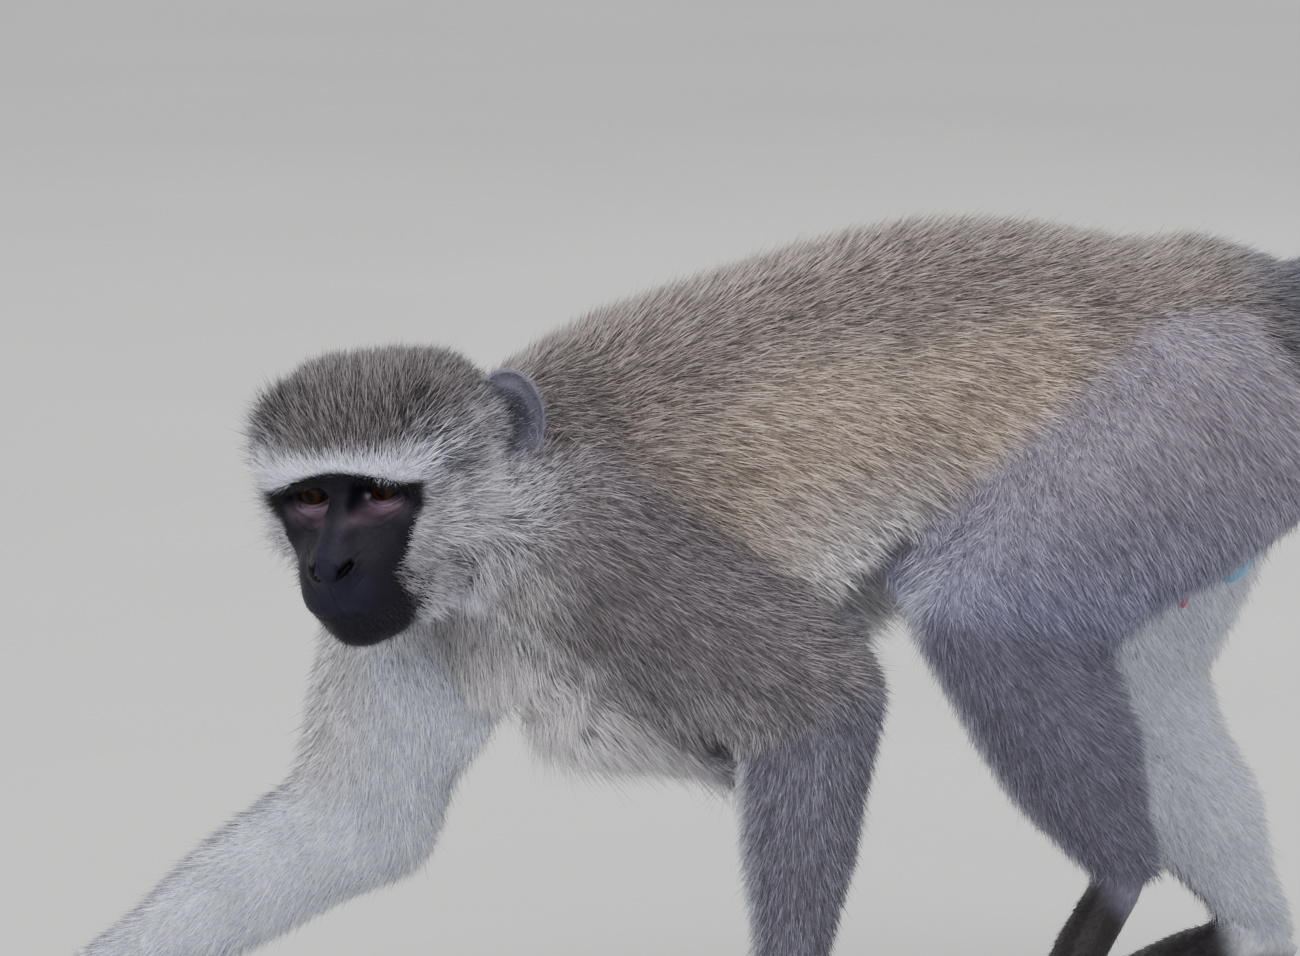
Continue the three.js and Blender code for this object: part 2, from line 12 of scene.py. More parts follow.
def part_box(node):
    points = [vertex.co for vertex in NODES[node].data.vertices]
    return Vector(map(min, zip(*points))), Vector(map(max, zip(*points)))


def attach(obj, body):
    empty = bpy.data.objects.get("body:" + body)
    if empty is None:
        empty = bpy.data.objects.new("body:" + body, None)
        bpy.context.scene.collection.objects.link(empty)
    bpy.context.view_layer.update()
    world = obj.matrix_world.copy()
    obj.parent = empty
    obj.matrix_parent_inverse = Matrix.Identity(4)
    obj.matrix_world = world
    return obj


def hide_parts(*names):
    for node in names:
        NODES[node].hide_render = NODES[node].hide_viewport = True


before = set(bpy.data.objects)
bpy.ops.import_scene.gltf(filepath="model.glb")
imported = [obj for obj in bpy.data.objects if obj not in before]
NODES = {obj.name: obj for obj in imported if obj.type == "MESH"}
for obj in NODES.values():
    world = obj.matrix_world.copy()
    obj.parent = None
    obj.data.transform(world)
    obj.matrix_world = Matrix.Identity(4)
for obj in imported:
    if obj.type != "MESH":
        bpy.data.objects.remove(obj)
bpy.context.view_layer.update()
MM = 0.001
chance = np.random.default_rng(11)

SIDES = {"left": 1, "right": -1}
ARMS = ["upper_arm", "forearm", "hand"]
LEGS = ["thigh", "shank", "foot"]
TRUNK = ["neck", "chest", "loin", "hips"]
TAIL = ["tail_root", "tail_middle", "tail_tip"]
LIMBS = [f"{part}_{side}" for side in SIDES for part in ARMS + LEGS]
PAWS = [f"{part}_{side}" for side in SIDES for part in ("hand", "foot")]
BODY = ["head", "face", *TRUNK, *LIMBS, *TAIL]
EARS = [f"ear_{side}" for side in SIDES]


# ---------------- numbers on many points at once
def smooth(x, low, high):
    """0 up to low, 1 from high on and an S between them; with low above high it falls instead."""
    t = np.clip((x - low) / (high - low), 0, 1)
    return t * t * (3 - 2 * t)


def mix(a, b, share):
    return a + (b - a) * share


def shade(a, b, share):
    """The same for colours or other rows of numbers, with one share for each row."""
    return a + (b - a) * np.asarray(share)[:, None]


def unit(v):
    v = np.asarray(v, float)
    return v / np.maximum(np.linalg.norm(v, axis=-1, keepdims=True), 1e-9)


def ripple(p, size, seed):
    """A smooth wandering value of about -1 to 1 over the points p, with waves about size long."""
    own = np.random.default_rng(seed)
    total = np.zeros(len(p))
    for _ in range(6):
        way = unit(own.normal(size=3)) * 2 * math.pi / (size * own.uniform(0.7, 1.5))
        total += np.sin(p @ way + own.uniform(0, 6.28))
    return total / 3


def read(items, key, width, kind=np.float32):
    """What the items of a mesh keep under a key, as rows of so many numbers."""
    values = np.empty(len(items) * width, kind)
    items.foreach_get(key, values)
    return values.reshape(-1, width)


def vertices(mesh):
    return read(mesh.vertices, "co", 3).astype(float)


def normals(mesh):
    return read(mesh.vertex_normals, "vector", 3).astype(float)


def edges(mesh):
    return read(mesh.edges, "vertices", 2, np.int32)


def triangles_of(mesh):
    mesh.calc_loop_triangles()
    return read(mesh.loop_triangles, "vertices", 3, np.int32)


def relax(values, pairs, times):
    """Each value moves halfway to the mean of its neighbours along the mesh's edges, so many times."""
    flat = values.reshape(len(values), -1).copy()
    a, b = pairs.T
    count = np.bincount(np.r_[a, b], minlength=len(flat)).clip(1)
    for _ in range(times):
        for k in range(flat.shape[1]):
            column = flat[:, k]
            near = np.bincount(a, column[b], len(flat)) + np.bincount(b, column[a], len(flat))
            flat[:, k] += (near / count - column) / 2
    return flat.reshape(values.shape)


# ---------------- meshes and objects
def points_of(bm):
    return np.array([v.co for v in bm.verts], float)


def move_points(bm, points):
    for vertex, co in zip(bm.verts, points):
        vertex.co = co


def finished(bm, name):
    """The bmesh as a mesh; the bmesh itself is freed."""
    mesh = bpy.data.meshes.new(name)
    bm.to_mesh(mesh)
    bm.free()
    return mesh


def in_scene(name, data):
    ob = bpy.data.objects.new(name, data)
    bpy.context.scene.collection.objects.link(ob)
    return ob


# ---------------- landmarks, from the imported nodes
NODE_POINTS = {name: vertices(ob.data) for name, ob in NODES.items()}


def meeting(a, b, near=3 * MM):
    """The middle of the cut where node a meets node b."""
    tree = BVHTree.FromPolygons(
        NODE_POINTS[b].tolist(), [list(p.vertices) for p in NODES[b].data.polygons]
    )
    touching = [p for p in NODE_POINTS[a] if tree.find_nearest(Vector(p), near)[0] is not None]
    return np.mean(touching, axis=0)


def far_end(name, point, share=0.06):
    """The middle of the part of a node that is farthest from a point."""
    away = np.linalg.norm(NODE_POINTS[name] - point, axis=1)
    return NODE_POINTS[name][away >= np.quantile(away, 1 - share)].mean(0)


JOINTS = {}
for side in SIDES:
    for near_part, far_part, joint in [
        ("upper_arm", "forearm", "elbow"),
        ("forearm", "hand", "wrist"),
        ("thigh", "shank", "knee"),
        ("shank", "foot", "ankle"),
    ]:
        JOINTS[f"{joint}_{side}"] = meeting(f"{near_part}_{side}", f"{far_part}_{side}")
    JOINTS[f"shoulder_{side}"] = far_end(f"upper_arm_{side}", JOINTS[f"elbow_{side}"], 0.15)
    JOINTS[f"hip_{side}"] = far_end(f"thigh_{side}", JOINTS[f"knee_{side}"], 0.15)
    JOINTS[f"fingers_{side}"] = far_end(f"hand_{side}", JOINTS[f"wrist_{side}"])
    JOINTS[f"toes_{side}"] = far_end(f"foot_{side}", JOINTS[f"ankle_{side}"])

# The head's own frame, in millimetres: its origin is midway between the sockets, at their front.
# +X is the head's left, -Y its front and +Z its crown.
EYE_RADIUS = 9.2
EYE_BACK = 7.5
EYE_UP = 2.2
EAR_RISE = math.radians(8.835)  # of the line from the eyes to the ears
eye_middle = {side: sum(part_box(f"eye_{side}"), Vector()) / 2 for side in SIDES}
between_eyes = np.array((eye_middle["left"] + eye_middle["right"]) / 2)
ears_middle = sum(np.unique(NODE_POINTS[ear].round(6), axis=0).mean(0) for ear in EARS) / 2
head_x = unit(np.array(eye_middle["left"] - eye_middle["right"]))
to_ears = unit(ears_middle - between_eyes)
ear_up = np.cross(head_x, to_ears)
head_y = to_ears * math.cos(EAR_RISE) - ear_up * math.sin(EAR_RISE)
head_z = np.cross(head_x, head_y)
HEAD_AXES = np.stack([head_x, head_y, head_z], 1)
HEAD_ORIGIN = between_eyes - (head_y * EYE_BACK + head_z * EYE_UP) * MM
EYE_SIDE = float(np.linalg.norm(eye_middle["left"] - eye_middle["right"])) / MM / 2


def to_head(p):
    return (p - HEAD_ORIGIN) @ HEAD_AXES / MM


def from_head(p):
    return np.asarray(p, float) * MM @ HEAD_AXES.T + HEAD_ORIGIN


# ---------------- fields of distance, in millimetres
def ellipsoid(p, centre, radii):
    q = (p - np.array(centre)) / np.array(radii)
    near = np.linalg.norm(q, axis=1)
    slope = np.linalg.norm(q / np.array(radii), axis=1)
    return near * (near - 1) / np.maximum(slope, 1e-6)


def limb(p, a, b, radii):
    a = np.array(a, float)
    span = np.array(b, float) - a
    share = np.clip((p - a) @ span / (span @ span), 0, 1)
    place = share * (len(radii) - 1)
    index = np.minimum(place.astype(int), len(radii) - 2)
    radii = np.array(radii, float)
    radius = mix(radii[index], radii[index + 1], smooth(place - index, 0, 1))
    return np.linalg.norm(p - a - share[:, None] * span, axis=1) - radius


def join(soft, *fields):
    whole = fields[0]
    for field in fields[1:]:
        share = np.clip(0.5 + 0.5 * (field - whole) / soft, 0, 1)
        whole = mix(field, whole, share) - soft * share * (1 - share)
    return whole


def carve(soft, field, hole):
    return -join(soft, -field, hole)


def project(p, field, steps):
    """Moves the points to where the field is zero."""
    for _ in range(steps):
        value = field(p)
        slope = np.zeros_like(p)
        for corner in ((1, 1, 1), (1, -1, -1), (-1, 1, -1), (-1, -1, 1)):
            slope += field(p + 0.15 * np.array(corner))[:, None] * corner
        p = p - unit(slope) * np.clip(value, -4, 4)[:, None]
    return p


# ---------------- the bare face and the skull
# The forms of the head's left half, which is mirrored. Three rows of numbers are a limb's two ends and
# its radii on the way; two are an ellipsoid's centre and radii.
FACE_FORMS = {
    "brow ridge": ((0, 1, 13.5), (27, 1, 13), (7.5, 8.0, 7.0)),
    "outer rim of the socket": ((27, 3, 12), (33, 6, 1), (7.0, 6.5)),
    "lower rim of the socket": ((33, 6, 1), (27, 6, -11), (6.5, 8.0)),
    "cheekbone": ((22, 5, -13), (15, 14, 12)),
    "upper jaw": ((16, -2, -25), (13, 13, 13)),
    "beside the nose": ((10, -1, -9), (12, -14, -24), (9.0, 10.2)),
    "lower jaw": ((22, 38, -34), (11, -7, -45), (13, 14, 12)),
    "bridge of the nose": ((0, 5, 4), (0, -19.5, -15.0), (9.0, 9.0, 9.0)),
    "muzzle": ((0, -9, -28), (20, 22, 18)),
    "upper lip": ((10, -11, -35), (14, 18, 12.5)),
    "chin": ((0, -11, -49), (15, 17, 11)),
}
NOSE_FORMS = {
    "tip": ((0, -28.6, -18.8), (4.6, 5.4, 5.2)),
    "wing": ((4.6, -25.6, -18.6), (4.8, 6.0, 4.6)),
}
SKULL_FORMS = {
    "crown": ((0, 42, 10), (47, 43, 31)),
    "corner of the crown": ((25, 40, 17), (22, 30, 23)),
    "forehead": ((0, 17, 10), (36, 18, 14)),
    "jaw muscle": ((30, 32, -8), (15, 19, 24)),
    "throat": ((0, 42, -28), (27, 31, 21)),
    "root of the ear": ((39, 57, 8), (9, 11, 13)),
}
SOCKET = ((EYE_SIDE, -6, EYE_UP), (11.5, 11.0, 7.8))
NOSTRIL = ((4.4, -31.4, -21.4), (8.6, -26.2, -18.0))  # the two ends of its slit
NOSTRIL_RADII = (0.6, 1.4, 0.9)
NOSTRIL_SHADOW = (1.5, 2.0, 1.8)  # radii of the hairless skin in and round it, which a painted shadow darkens
LID_RADIUS = EYE_RADIUS + 1.1
EYE_CENTRE = np.array([EYE_SIDE, EYE_BACK, EYE_UP])
# How softly, in millimetres, the parts run into each other.
SOFT = {
    "face": 6, "nose": 4, "nose on face": 7, "skull": 10,
    "head": 8, "socket": 4, "lids": 2.0, "nostril": 0.7,
}


def mirrored(head):
    """Points of the head, with those of its right half brought over to the left."""
    left = head.copy()
    left[:, 0] = np.abs(left[:, 0])
    return left


def joined_forms(q, soft, forms):
    fields = [limb(q, *form) if len(form) == 3 else ellipsoid(q, *form) for form in forms.values()]
    return join(soft, *fields)


def face_field(p):
    q = mirrored(p)
    face = joined_forms(q, SOFT["face"], FACE_FORMS)
    face = join(SOFT["nose on face"], face, joined_forms(q, SOFT["nose"], NOSE_FORMS))
    whole = join(SOFT["head"], face, joined_forms(q, SOFT["skull"], SKULL_FORMS))
    whole = carve(SOFT["socket"], whole, ellipsoid(q, *SOCKET))
    whole = join(SOFT["lids"], whole, np.linalg.norm(q - EYE_CENTRE, axis=1) - LID_RADIUS)
    return carve(SOFT["nostril"], whole, limb(q, *NOSTRIL, NOSTRIL_RADII))


# The outline of the bare face: half its width at each level, and its arched top.
RIM_LEVELS = [-66, -62, -58, -52, -44, -36, -25, -20, -10, 0, 6]
RIM_HALF_WIDTHS = [-20, 4, 14, 20.5, 23.5, 24, 22, 24.5, 29, 33, 34]
RIM_TOP = 12.5
RIM_ARCH = 0.0070


def bare_rim(head):
    """How far inside the edge of the bare face the points lie, in millimetres."""
    x, z = np.abs(head[:, 0]), head[:, 2]
    top = RIM_TOP - RIM_ARCH * x**2
    return np.minimum(np.interp(z, RIM_LEVELS, RIM_HALF_WIDTHS) - x, top - z)


def within(head, **ramps):
    """The share, 0 to 1, of each point in a region of the head that smooth ramps bound.

    Each ramp goes from 0 to 1 along x, which is counted from the middle, y or z. One with four numbers
    rises between the first two and falls between the others.
    """
    along = dict(zip("xyz", mirrored(head).T))
    share = np.ones(len(head))
    for axis, ends in ramps.items():
        share = share * smooth(along[axis], *ends[:2])
        if len(ends) == 4:
            share = share * smooth(along[axis], ends[3], ends[2])
    return share


def bare(head, grown=0.0):
    """1 on the bare face, 0 in the coat round it; the face may be grown by some millimetres."""
    return smooth(bare_rim(head) + grown, -1.5, 1.5) * smooth(-head[:, 1], -34, -24)


# The folds under each eye: how far below its middle they lie, their depth and how much they curve.
EYE_FOLDS = ((4.6, 0.35, 0.030), (6.1, 0.5, 0.034), (8.0, 0.5, 0.040), (10.2, 0.35, 0.045))


def face_lines(head):
    """The height, in millimetres, of the fine folds on the bare face."""
    x, y, z = mirrored(head).T
    dx, dz = x - EYE_SIDE, z - EYE_UP
    across = np.exp(-((dx / 9) ** 4))
    folds = np.zeros(len(head))
    for drop, deep, bow in EYE_FOLDS:
        line = -drop + bow * dx**2 + 0.05 * dx
        folds -= deep * across * np.exp(-(((dz - line) / 0.42) ** 2))
    folds += 0.5 * np.exp(-((dx / 8) ** 2) - ((dz + 7.6) / 2.6) ** 2)  # the bag under the eye
    folds -= 0.5 * across * np.exp(-(((dz - 5.4 + 0.03 * dx**2) / 0.5) ** 2))  # over the upper lid
    mouth = -42.5 + 0.006 * x**2
    front = smooth(-y, -6, 4) * smooth(20 - x, 0, 4)
    folds -= 0.4 * front * np.exp(-(((z - mouth) / 0.8) ** 2))
    folds += 0.2 * front * np.exp(-(((z - mouth + 2.4) / 1.5) ** 2))
    folds -= 0.2 * np.exp(-((x / 0.9) ** 2)) * smooth(-z, 23, 26) * smooth(z, -41, -37) * smooth(-y, 18, 24)
    for k in range(3):  # creases beside the nose
        line = -17 - 5 * k + 0.9 * (x - 10)
        reach = np.exp(-(((x - 12) / 4) ** 2)) * smooth(-y, 4, 12)
        folds -= 0.2 * reach * np.exp(-(((z - line) / 0.6) ** 2))
    return folds


# ---------------- the lids
# The eye's opening, in millimetres from the eye's middle.
LID = {"inner": -8.6, "outer": 7.6, "up": 4.3, "down": 2.8, "slope": 0.08, "point": 0.35}
LID_THICK = 1.3
LID_RINGS = np.r_[np.arange(0, 2.0, 0.25), np.arange(2.0, 4.7, 0.3)]  # how far out from the opening's edge
LID_SIDES = 120
LID_UNDER = 1.6  # how far the outermost rings reach under the skin round the hole


def lid_size(z, out):
    """Half the width and height of the ring so far out from the opening, and the middle of its width."""
    half = (LID["outer"] - LID["inner"]) / 2 + 0.85 * out
    return half, np.where(z > 0, LID["up"], LID["down"]) + out, (LID["outer"] + LID["inner"]) / 2


def lid_ring(out):
    """Places (x, z) on a ring round the left eye's opening, so far out from its edge."""
    angle = np.arange(LID_SIDES) * 2 * math.pi / LID_SIDES
    x, z = np.cos(angle), np.sin(angle)
    half, height, middle = lid_size(z, out)
    pointed = LID["point"] * (1 - smooth(out, 0, 6))
    z = z * (1 - pointed * x**2) * height
    x = x * half + middle
    return np.stack([x + EYE_SIDE, z + EYE_UP + LID["slope"] * x], 1)


def under_lids(head, out):
    """Where a point of the head's skin lies inside the ring that is so far out."""
    x, z = np.abs(head[:, 0]) - EYE_SIDE, head[:, 2]
    z = z - EYE_UP - LID["slope"] * x
    half, height, middle = lid_size(z, out)
    return (((x - middle) / half) ** 2 + (z / height) ** 2 < 1) & (head[:, 1] < 20)


def lid_points():
    """Rings of points from behind the left eye's lids out over the skin, in the head's frame."""
    rings = []
    for out in LID_RINGS:
        x, z = lid_ring(out).T
        y = np.full(LID_SIDES, -20.0)
        for _ in range(50):
            y += 0.8 * face_field(np.stack([x, y, z], 1))
        y += 0.6 * smooth(out, LID_RINGS[-1] - LID_UNDER, LID_RINGS[-1])
        rings.append(np.stack([x, y, z], 1))
    away = np.linalg.norm(rings[0] - EYE_CENTRE, axis=1)[:, None]
    way = (rings[0] - EYE_CENTRE) / away
    edge = EYE_CENTRE + way * np.maximum(EYE_RADIUS + 0.08, away - LID_THICK)
    behind = EYE_CENTRE + way * (EYE_RADIUS - 0.8)
    return [behind, edge, *rings]


def add_lids(bm):
    """Cuts a hole round each eye and fills it with rings of lid, which end just under the hole's rim."""
    rings = lid_points()
    head = to_head(points_of(bm))
    bm.verts.ensure_lookup_table()
    gone = under_lids(head, LID_RINGS[-1] - LID_UNDER)
    bmesh.ops.delete(bm, geom=[v for v in bm.verts if gone[v.index]], context="VERTS")
    bm.verts.index_update()
    for s in SIDES.values():
        rows = [[bm.verts.new(co) for co in from_head(ring * (s, 1, 1))] for ring in rings]
        for inner, outer in zip(rows, rows[1:]):
            for k in range(LID_SIDES):
                corners = [inner[k], inner[k - 1], outer[k - 1], outer[k]]
                bm.faces.new(corners if s > 0 else corners[::-1])


# ---------------- the skin
VOXEL = 3.0 * MM
PAW_VOXEL = 1.6 * MM
FUSE = 0.5 * MM  # how far each solid is grown, so that it fuses with its neighbours
# How deep the skin lies under the tips of the coat, in millimetres.
COAT_DEPTH = {
    "head": 9, "face": 1, "neck": 8, "chest": 5.5, "loin": 5, "hips": 5,
    "upper_arm": 5.5, "forearm": 4.5, "hand": 1.5, "thigh": 5.5, "shank": 4.5, "foot": 1.5,
    "tail_root": 5, "tail_middle": 4.5, "tail_tip": 4,
}
TAIL_END_DEPTH = 0.3


def kind(name):
    return name.rsplit("_", 1)[0] if name.endswith(("_left", "_right")) else name


def nearest_nodes(names):
    """A function from points to the index, in names, of the node nearest to each."""
    corners, faces, owner, start = [], [], [], 0
    for index, name in enumerate(names):
        corners += NODE_POINTS[name].tolist()
        polygons = [[start + v for v in p.vertices] for p in NODES[name].data.polygons]
        faces += polygons
        owner += [index] * len(polygons)
        start += len(NODE_POINTS[name])
    tree = BVHTree.FromPolygons(corners, faces)
    return lambda points: np.array([owner[tree.find_nearest(p)[2]] for p in points.tolist()])


def fused(names, voxel):
    """The named nodes as one closed mesh of even squares."""
    whole = bmesh.new()
    for name in names:
        piece = bmesh.new()
        piece.from_mesh(NODES[name].data)
        bmesh.ops.remove_doubles(piece, verts=piece.verts, dist=0.01 * MM)
        piece.normal_update()
        for v in piece.verts:
            v.co += v.normal * FUSE
        grown = finished(piece, "grown")
        whole.from_mesh(grown)
        bpy.data.meshes.remove(grown)
    mesh = finished(whole, "blank")
    ob = in_scene("blank", mesh)
    remesh = ob.modifiers.new("Even squares", "REMESH")
    remesh.mode = "VOXEL"
    remesh.voxel_size = voxel
    result = bpy.data.meshes.new_from_object(ob.evaluated_get(bpy.context.evaluated_depsgraph_get()))
    bpy.data.objects.remove(ob)
    bpy.data.meshes.remove(mesh)
    return result


def put(mesh, co):
    mesh.vertices.foreach_set("co", co.astype(np.float32).ravel())
    mesh.update()


WRIST = 12  # millimetres from the middle of a wrist or ankle to its skin


def past_wrists(p, owner):
    """How far the points lie past their nearest wrist or ankle, and from its middle, in millimetres."""
    best = np.full(len(p), 1e9)
    for side in SIDES:
        for joint in ("wrist", "ankle"):
            away = np.linalg.norm(p - JOINTS[f"{joint}_{side}"], axis=1) / MM
            best = np.minimum(best, np.where(p[:, 0] * SIDES[side] > -4 * MM, away, 1e9))
    return (best - WRIST) * np.where(np.isin(owner, PAWS), 1, -1), best


def depth_at(p, node_index, pairs):
    """How deep the skin lies at the points of a mesh, in millimetres."""
    owner = np.array(BODY)[node_index]
    deep = np.array([COAT_DEPTH[kind(name)] for name in BODY], float)[node_index]
    by_face = np.isin(owner, ["head", "face"]) * smooth(np.linalg.norm(to_head(p), axis=1), 80, 50)
    deep = relax(mix(deep, COAT_DEPTH["face"], by_face), pairs, 40)
    past, away = past_wrists(p, owner)
    paw = mix(COAT_DEPTH["thigh"], COAT_DEPTH["foot"], smooth(past, -22, 8))
    deep = mix(deep, paw, smooth(away, 70, 50))
    low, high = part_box("tail_tip")
    return mix(deep, TAIL_END_DEPTH, smooth(p[:, 1], mix(low.y, high.y, 0.3), high.y - 10 * MM))


def sunk(mesh, locate, passes):
    """Moves a fused mesh's points in from the coat's tips to the skin."""
    pairs = edges(mesh)
    co = relax(vertices(mesh), pairs, passes)
    put(mesh, co)
    inward = unit(relax(normals(mesh), pairs, 6))
    deep = depth_at(co, locate(co), pairs)
    put(mesh, co - inward * deep[:, None] * MM)


def keep_faces(bm, wanted):
    """Keeps the faces whose corners are all wanted."""
    bm.verts.ensure_lookup_table()
    bmesh.ops.delete(bm, geom=[v for v in bm.verts if not wanted[v.index]], context="VERTS")


def finer(bm, chosen):
    bm.verts.ensure_lookup_table()
    lines = [e for e in bm.edges if chosen[e.verts[0].index] and chosen[e.verts[1].index]]
    bmesh.ops.subdivide_edges(bm, edges=lines, cuts=1, use_grid_fill=True)
    bm.verts.index_update()


# Where the squares of the face are split again: half the width, the lowest and highest level and the back.
FINER_REGIONS = {
    "head": (50, -74, 30, 42),
    "face": (43, -66, 25, 30),
    "eyes": (34, -18, 18, 22),
    "nose": (13, -30, -11, -14),
}
BODY_ENDS = 6  # millimetres past the wrists and ankles
PAWS_START = -14


def sunk_part(names, voxel, passes, locate, keep):
    """The skin of the named nodes, where keep is true of how far it lies past the wrists and ankles."""
    mesh = fused(names, voxel)
    sunk(mesh, locate, passes)
    bm = bmesh.new()
    bm.from_mesh(mesh)
    bpy.data.meshes.remove(mesh)
    points = points_of(bm)
    past, _ = past_wrists(points, np.array(BODY)[locate(points)])
    keep_faces(bm, keep(past))
    return bm


def body_skin(locate):
    bm = sunk_part(BODY, VOXEL, 14, locate, lambda past: past < BODY_ENDS)
    bm.verts.index_update()
    for width, low, high, back in FINER_REGIONS.values():
        x, y, z = mirrored(to_head(points_of(bm))).T
        finer(bm, (x < width) & (z > low) & (z < high) & (y < back))
    return finished(bm, "body_skin")


def shape_head(mesh, locate):
    """Brings the skin of the head to the skull and the face."""
    pairs = edges(mesh)
    co = vertices(mesh)
    owner = np.array(BODY)[locate(co)]
    head = to_head(co)
    share = relax(np.isin(owner, ["head", "face"]).astype(float), pairs, 10)
    share *= smooth(-head[:, 1], -78, -52) * (np.linalg.norm(head - (0, 30, -10), axis=1) < 100)
    chosen = np.flatnonzero(share > 0.002)
    inside = share[pairs].min(1) > 0.002
    renumber = np.full(len(co), -1)
    renumber[chosen] = np.arange(len(chosen))
    own_pairs = renumber[pairs[inside]]
    own_share = share[chosen][:, None]
    start = head[chosen]
    now = start.copy()
    for steps in (8, 4, 4, 3, 3, 3):
        now = mix(start, project(now, face_field, steps), own_share)
        now = mix(now, relax(now, own_pairs, 6), own_share)
    now = mix(start, project(now, face_field, 4), own_share)
    co[chosen] = from_head(now)
    put(mesh, co)
    bm = bmesh.new()
    bm.from_mesh(mesh)
    add_lids(bm)
    bm.to_mesh(mesh)
    bm.free()
    co = vertices(mesh)
    head = to_head(co)
    lift = face_lines(head) * bare(head) * (np.linalg.norm(head - (0, 0, -20), axis=1) < 70)
    put(mesh, co + normals(mesh) * (lift * MM)[:, None])


def paw_skin(locate):
    """Hands and feet, finer than the body, with a short sleeve up into the limb."""
    bm = sunk_part(LIMBS, PAW_VOXEL, 5, locate, lambda past: past > PAWS_START)
    return finished(bm, "paw_skin")


EAR = {"tall": 26.0, "wide": 18.5, "turn": 42, "lean": 12}  # half its height and width, and degrees
EAR_MIDDLE = np.array([50, 57, 6.5])


def turned(points, left, up):
    """Points turned by so many degrees about X and then about Z."""
    turn = Matrix.Rotation(math.radians(left), 3, "Z") @ Matrix.Rotation(math.radians(up), 3, "X")
    return points @ np.array(turn).T


def ear_mesh(s):
    """A cupped ear with a rolled rim, a hollow and a ridge; s is 1 on the left and -1 on the right."""
    bm = bmesh.new()
    bmesh.ops.create_uvsphere(bm, u_segments=72, v_segments=64, radius=1)
    ball = points_of(bm)
    face, y, z = ball[:, 2], ball[:, 0], ball[:, 1]  # the ball is pressed flat into a cup
    far = np.hypot(y, z)
    angle = np.arctan2(z, y)
    inner = smooth(face, -0.05, 0.05)
    around = smooth(np.cos(angle - 0.5), -0.75, 0.1)
    rim = smooth(far, 0.78, 1.0) * around
    out = -5.5 + 5.0 * far**2
    out += 2.2 * np.sin(rim * 2.4)  # the rolled rim
    ridge = np.exp(-(((far - 0.62) / 0.09) ** 2)) * smooth(np.cos(angle - 0.4), -0.2, 0.5)
    out += 1.4 * ridge * inner
    out -= 6.5 * np.exp(-(((y + 0.28) / 0.24) ** 2) - ((z + 0.10) / 0.26) ** 2) * inner  # the hole
    out += 2.6 * np.exp(-(((y + 0.72) / 0.14) ** 2) - ((z + 0.12) / 0.18) ** 2)  # the flap before it
    out += 1.4 * np.exp(-(((y + 0.45) / 0.2) ** 2) - ((z + 0.66) / 0.14) ** 2)
    out += 0.75 * np.sign(face) * np.abs(face) ** 0.6
    pull = 1 - 0.07 * rim
    shape = np.stack([out, y * EAR["wide"] * pull, z * EAR["tall"] * pull * (1 - 0.06 * y)], 1)
    shape = turned(shape, -EAR["turn"], -EAR["lean"])
    move_points(bm, from_head((shape + EAR_MIDDLE) * (s, 1, 1)))
    bmesh.ops.recalc_face_normals(bm, faces=bm.faces)
    return finished(bm, "ear")


def make_skin():
    locate = nearest_nodes(BODY)
    body = body_skin(locate)
    shape_head(body, locate)
    whole = bmesh.new()
    for mesh in [body, paw_skin(locate), ear_mesh(1), ear_mesh(-1)]:
        whole.from_mesh(mesh)
        bpy.data.meshes.remove(mesh)
    mesh = finished(whole, "skin")
    mesh.shade_smooth()
    return in_scene("skin", mesh)


# ---------------- markings, alike on skin and coat
def paint(red, green, blue):
    """A colour given as it is seen, 0 to 255, as the light it gives back."""
    return (np.array([red, green, blue]) / 255) ** 2.2


BACK = paint(154, 143, 139)
FLANK = paint(214, 195, 181)
BELLY = paint(240, 236, 240)
UPPER_ARM = paint(145, 139, 145)
FOREARM = paint(138, 135, 152)
THIGH = paint(150, 149, 180)
SHANK = paint(128, 124, 145)
LIMB_INSIDE = paint(238, 241, 255)
TAIL_TOP = paint(100, 99, 111)
TAIL_END = paint(56, 52, 55)
PAW = paint(50, 46, 48)
SHOULDER = paint(131, 122, 121)
CROWN = paint(90, 84, 85)
TEMPLE = paint(140, 137, 144)
BROW = paint(232, 232, 250)
CHEEK = paint(206, 204, 213)
RUFF = paint(142, 136, 136)
FACE = paint(16, 11, 25)
# A bluish painted highlight for the bare face, where light catches the nose's ridge and the front of the
# muzzle.
FACE_HIGHLIGHT = paint(25, 21, 40)
LID_PINK = paint(148, 125, 142)
EAR_SKIN = paint(98, 96, 112)
EAR_HAIR = paint(150, 150, 160)
BROW_BLACK = paint(20, 17, 21)
LIMB_COLOURS = {
    "upper_arm": UPPER_ARM, "forearm": FOREARM, "hand": FOREARM,
    "thigh": THIGH, "shank": SHANK, "foot": SHANK,
}
LIMB_TOPS = {"upper_arm": ("shoulder", SHOULDER), "thigh": ("hip", FLANK)}


class Places:
    """What the markings and the lie of the coat read at many points."""

    def __init__(self, p, n, owner):
        self.p, self.n, self.owner = p, n, owner
        self.head = to_head(p)
        self.mm = p / MM

    def on(self, *names):
        return np.isin(self.owner, names)


def trunk_height(at):
    """0 at the belly and 1 along the back, from both the place and the way the surface faces."""
    low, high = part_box("chest")
    hips_low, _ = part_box("hips")
    rise = np.interp(at.p[:, 1], [low.y, hips_low.y], [low.z, hips_low.z])
    level = (at.p[:, 2] - rise) / (high.z - rise)
    return np.clip(0.5 * level + 0.5 * (0.5 + 0.5 * at.n[:, 2]), 0, 1)


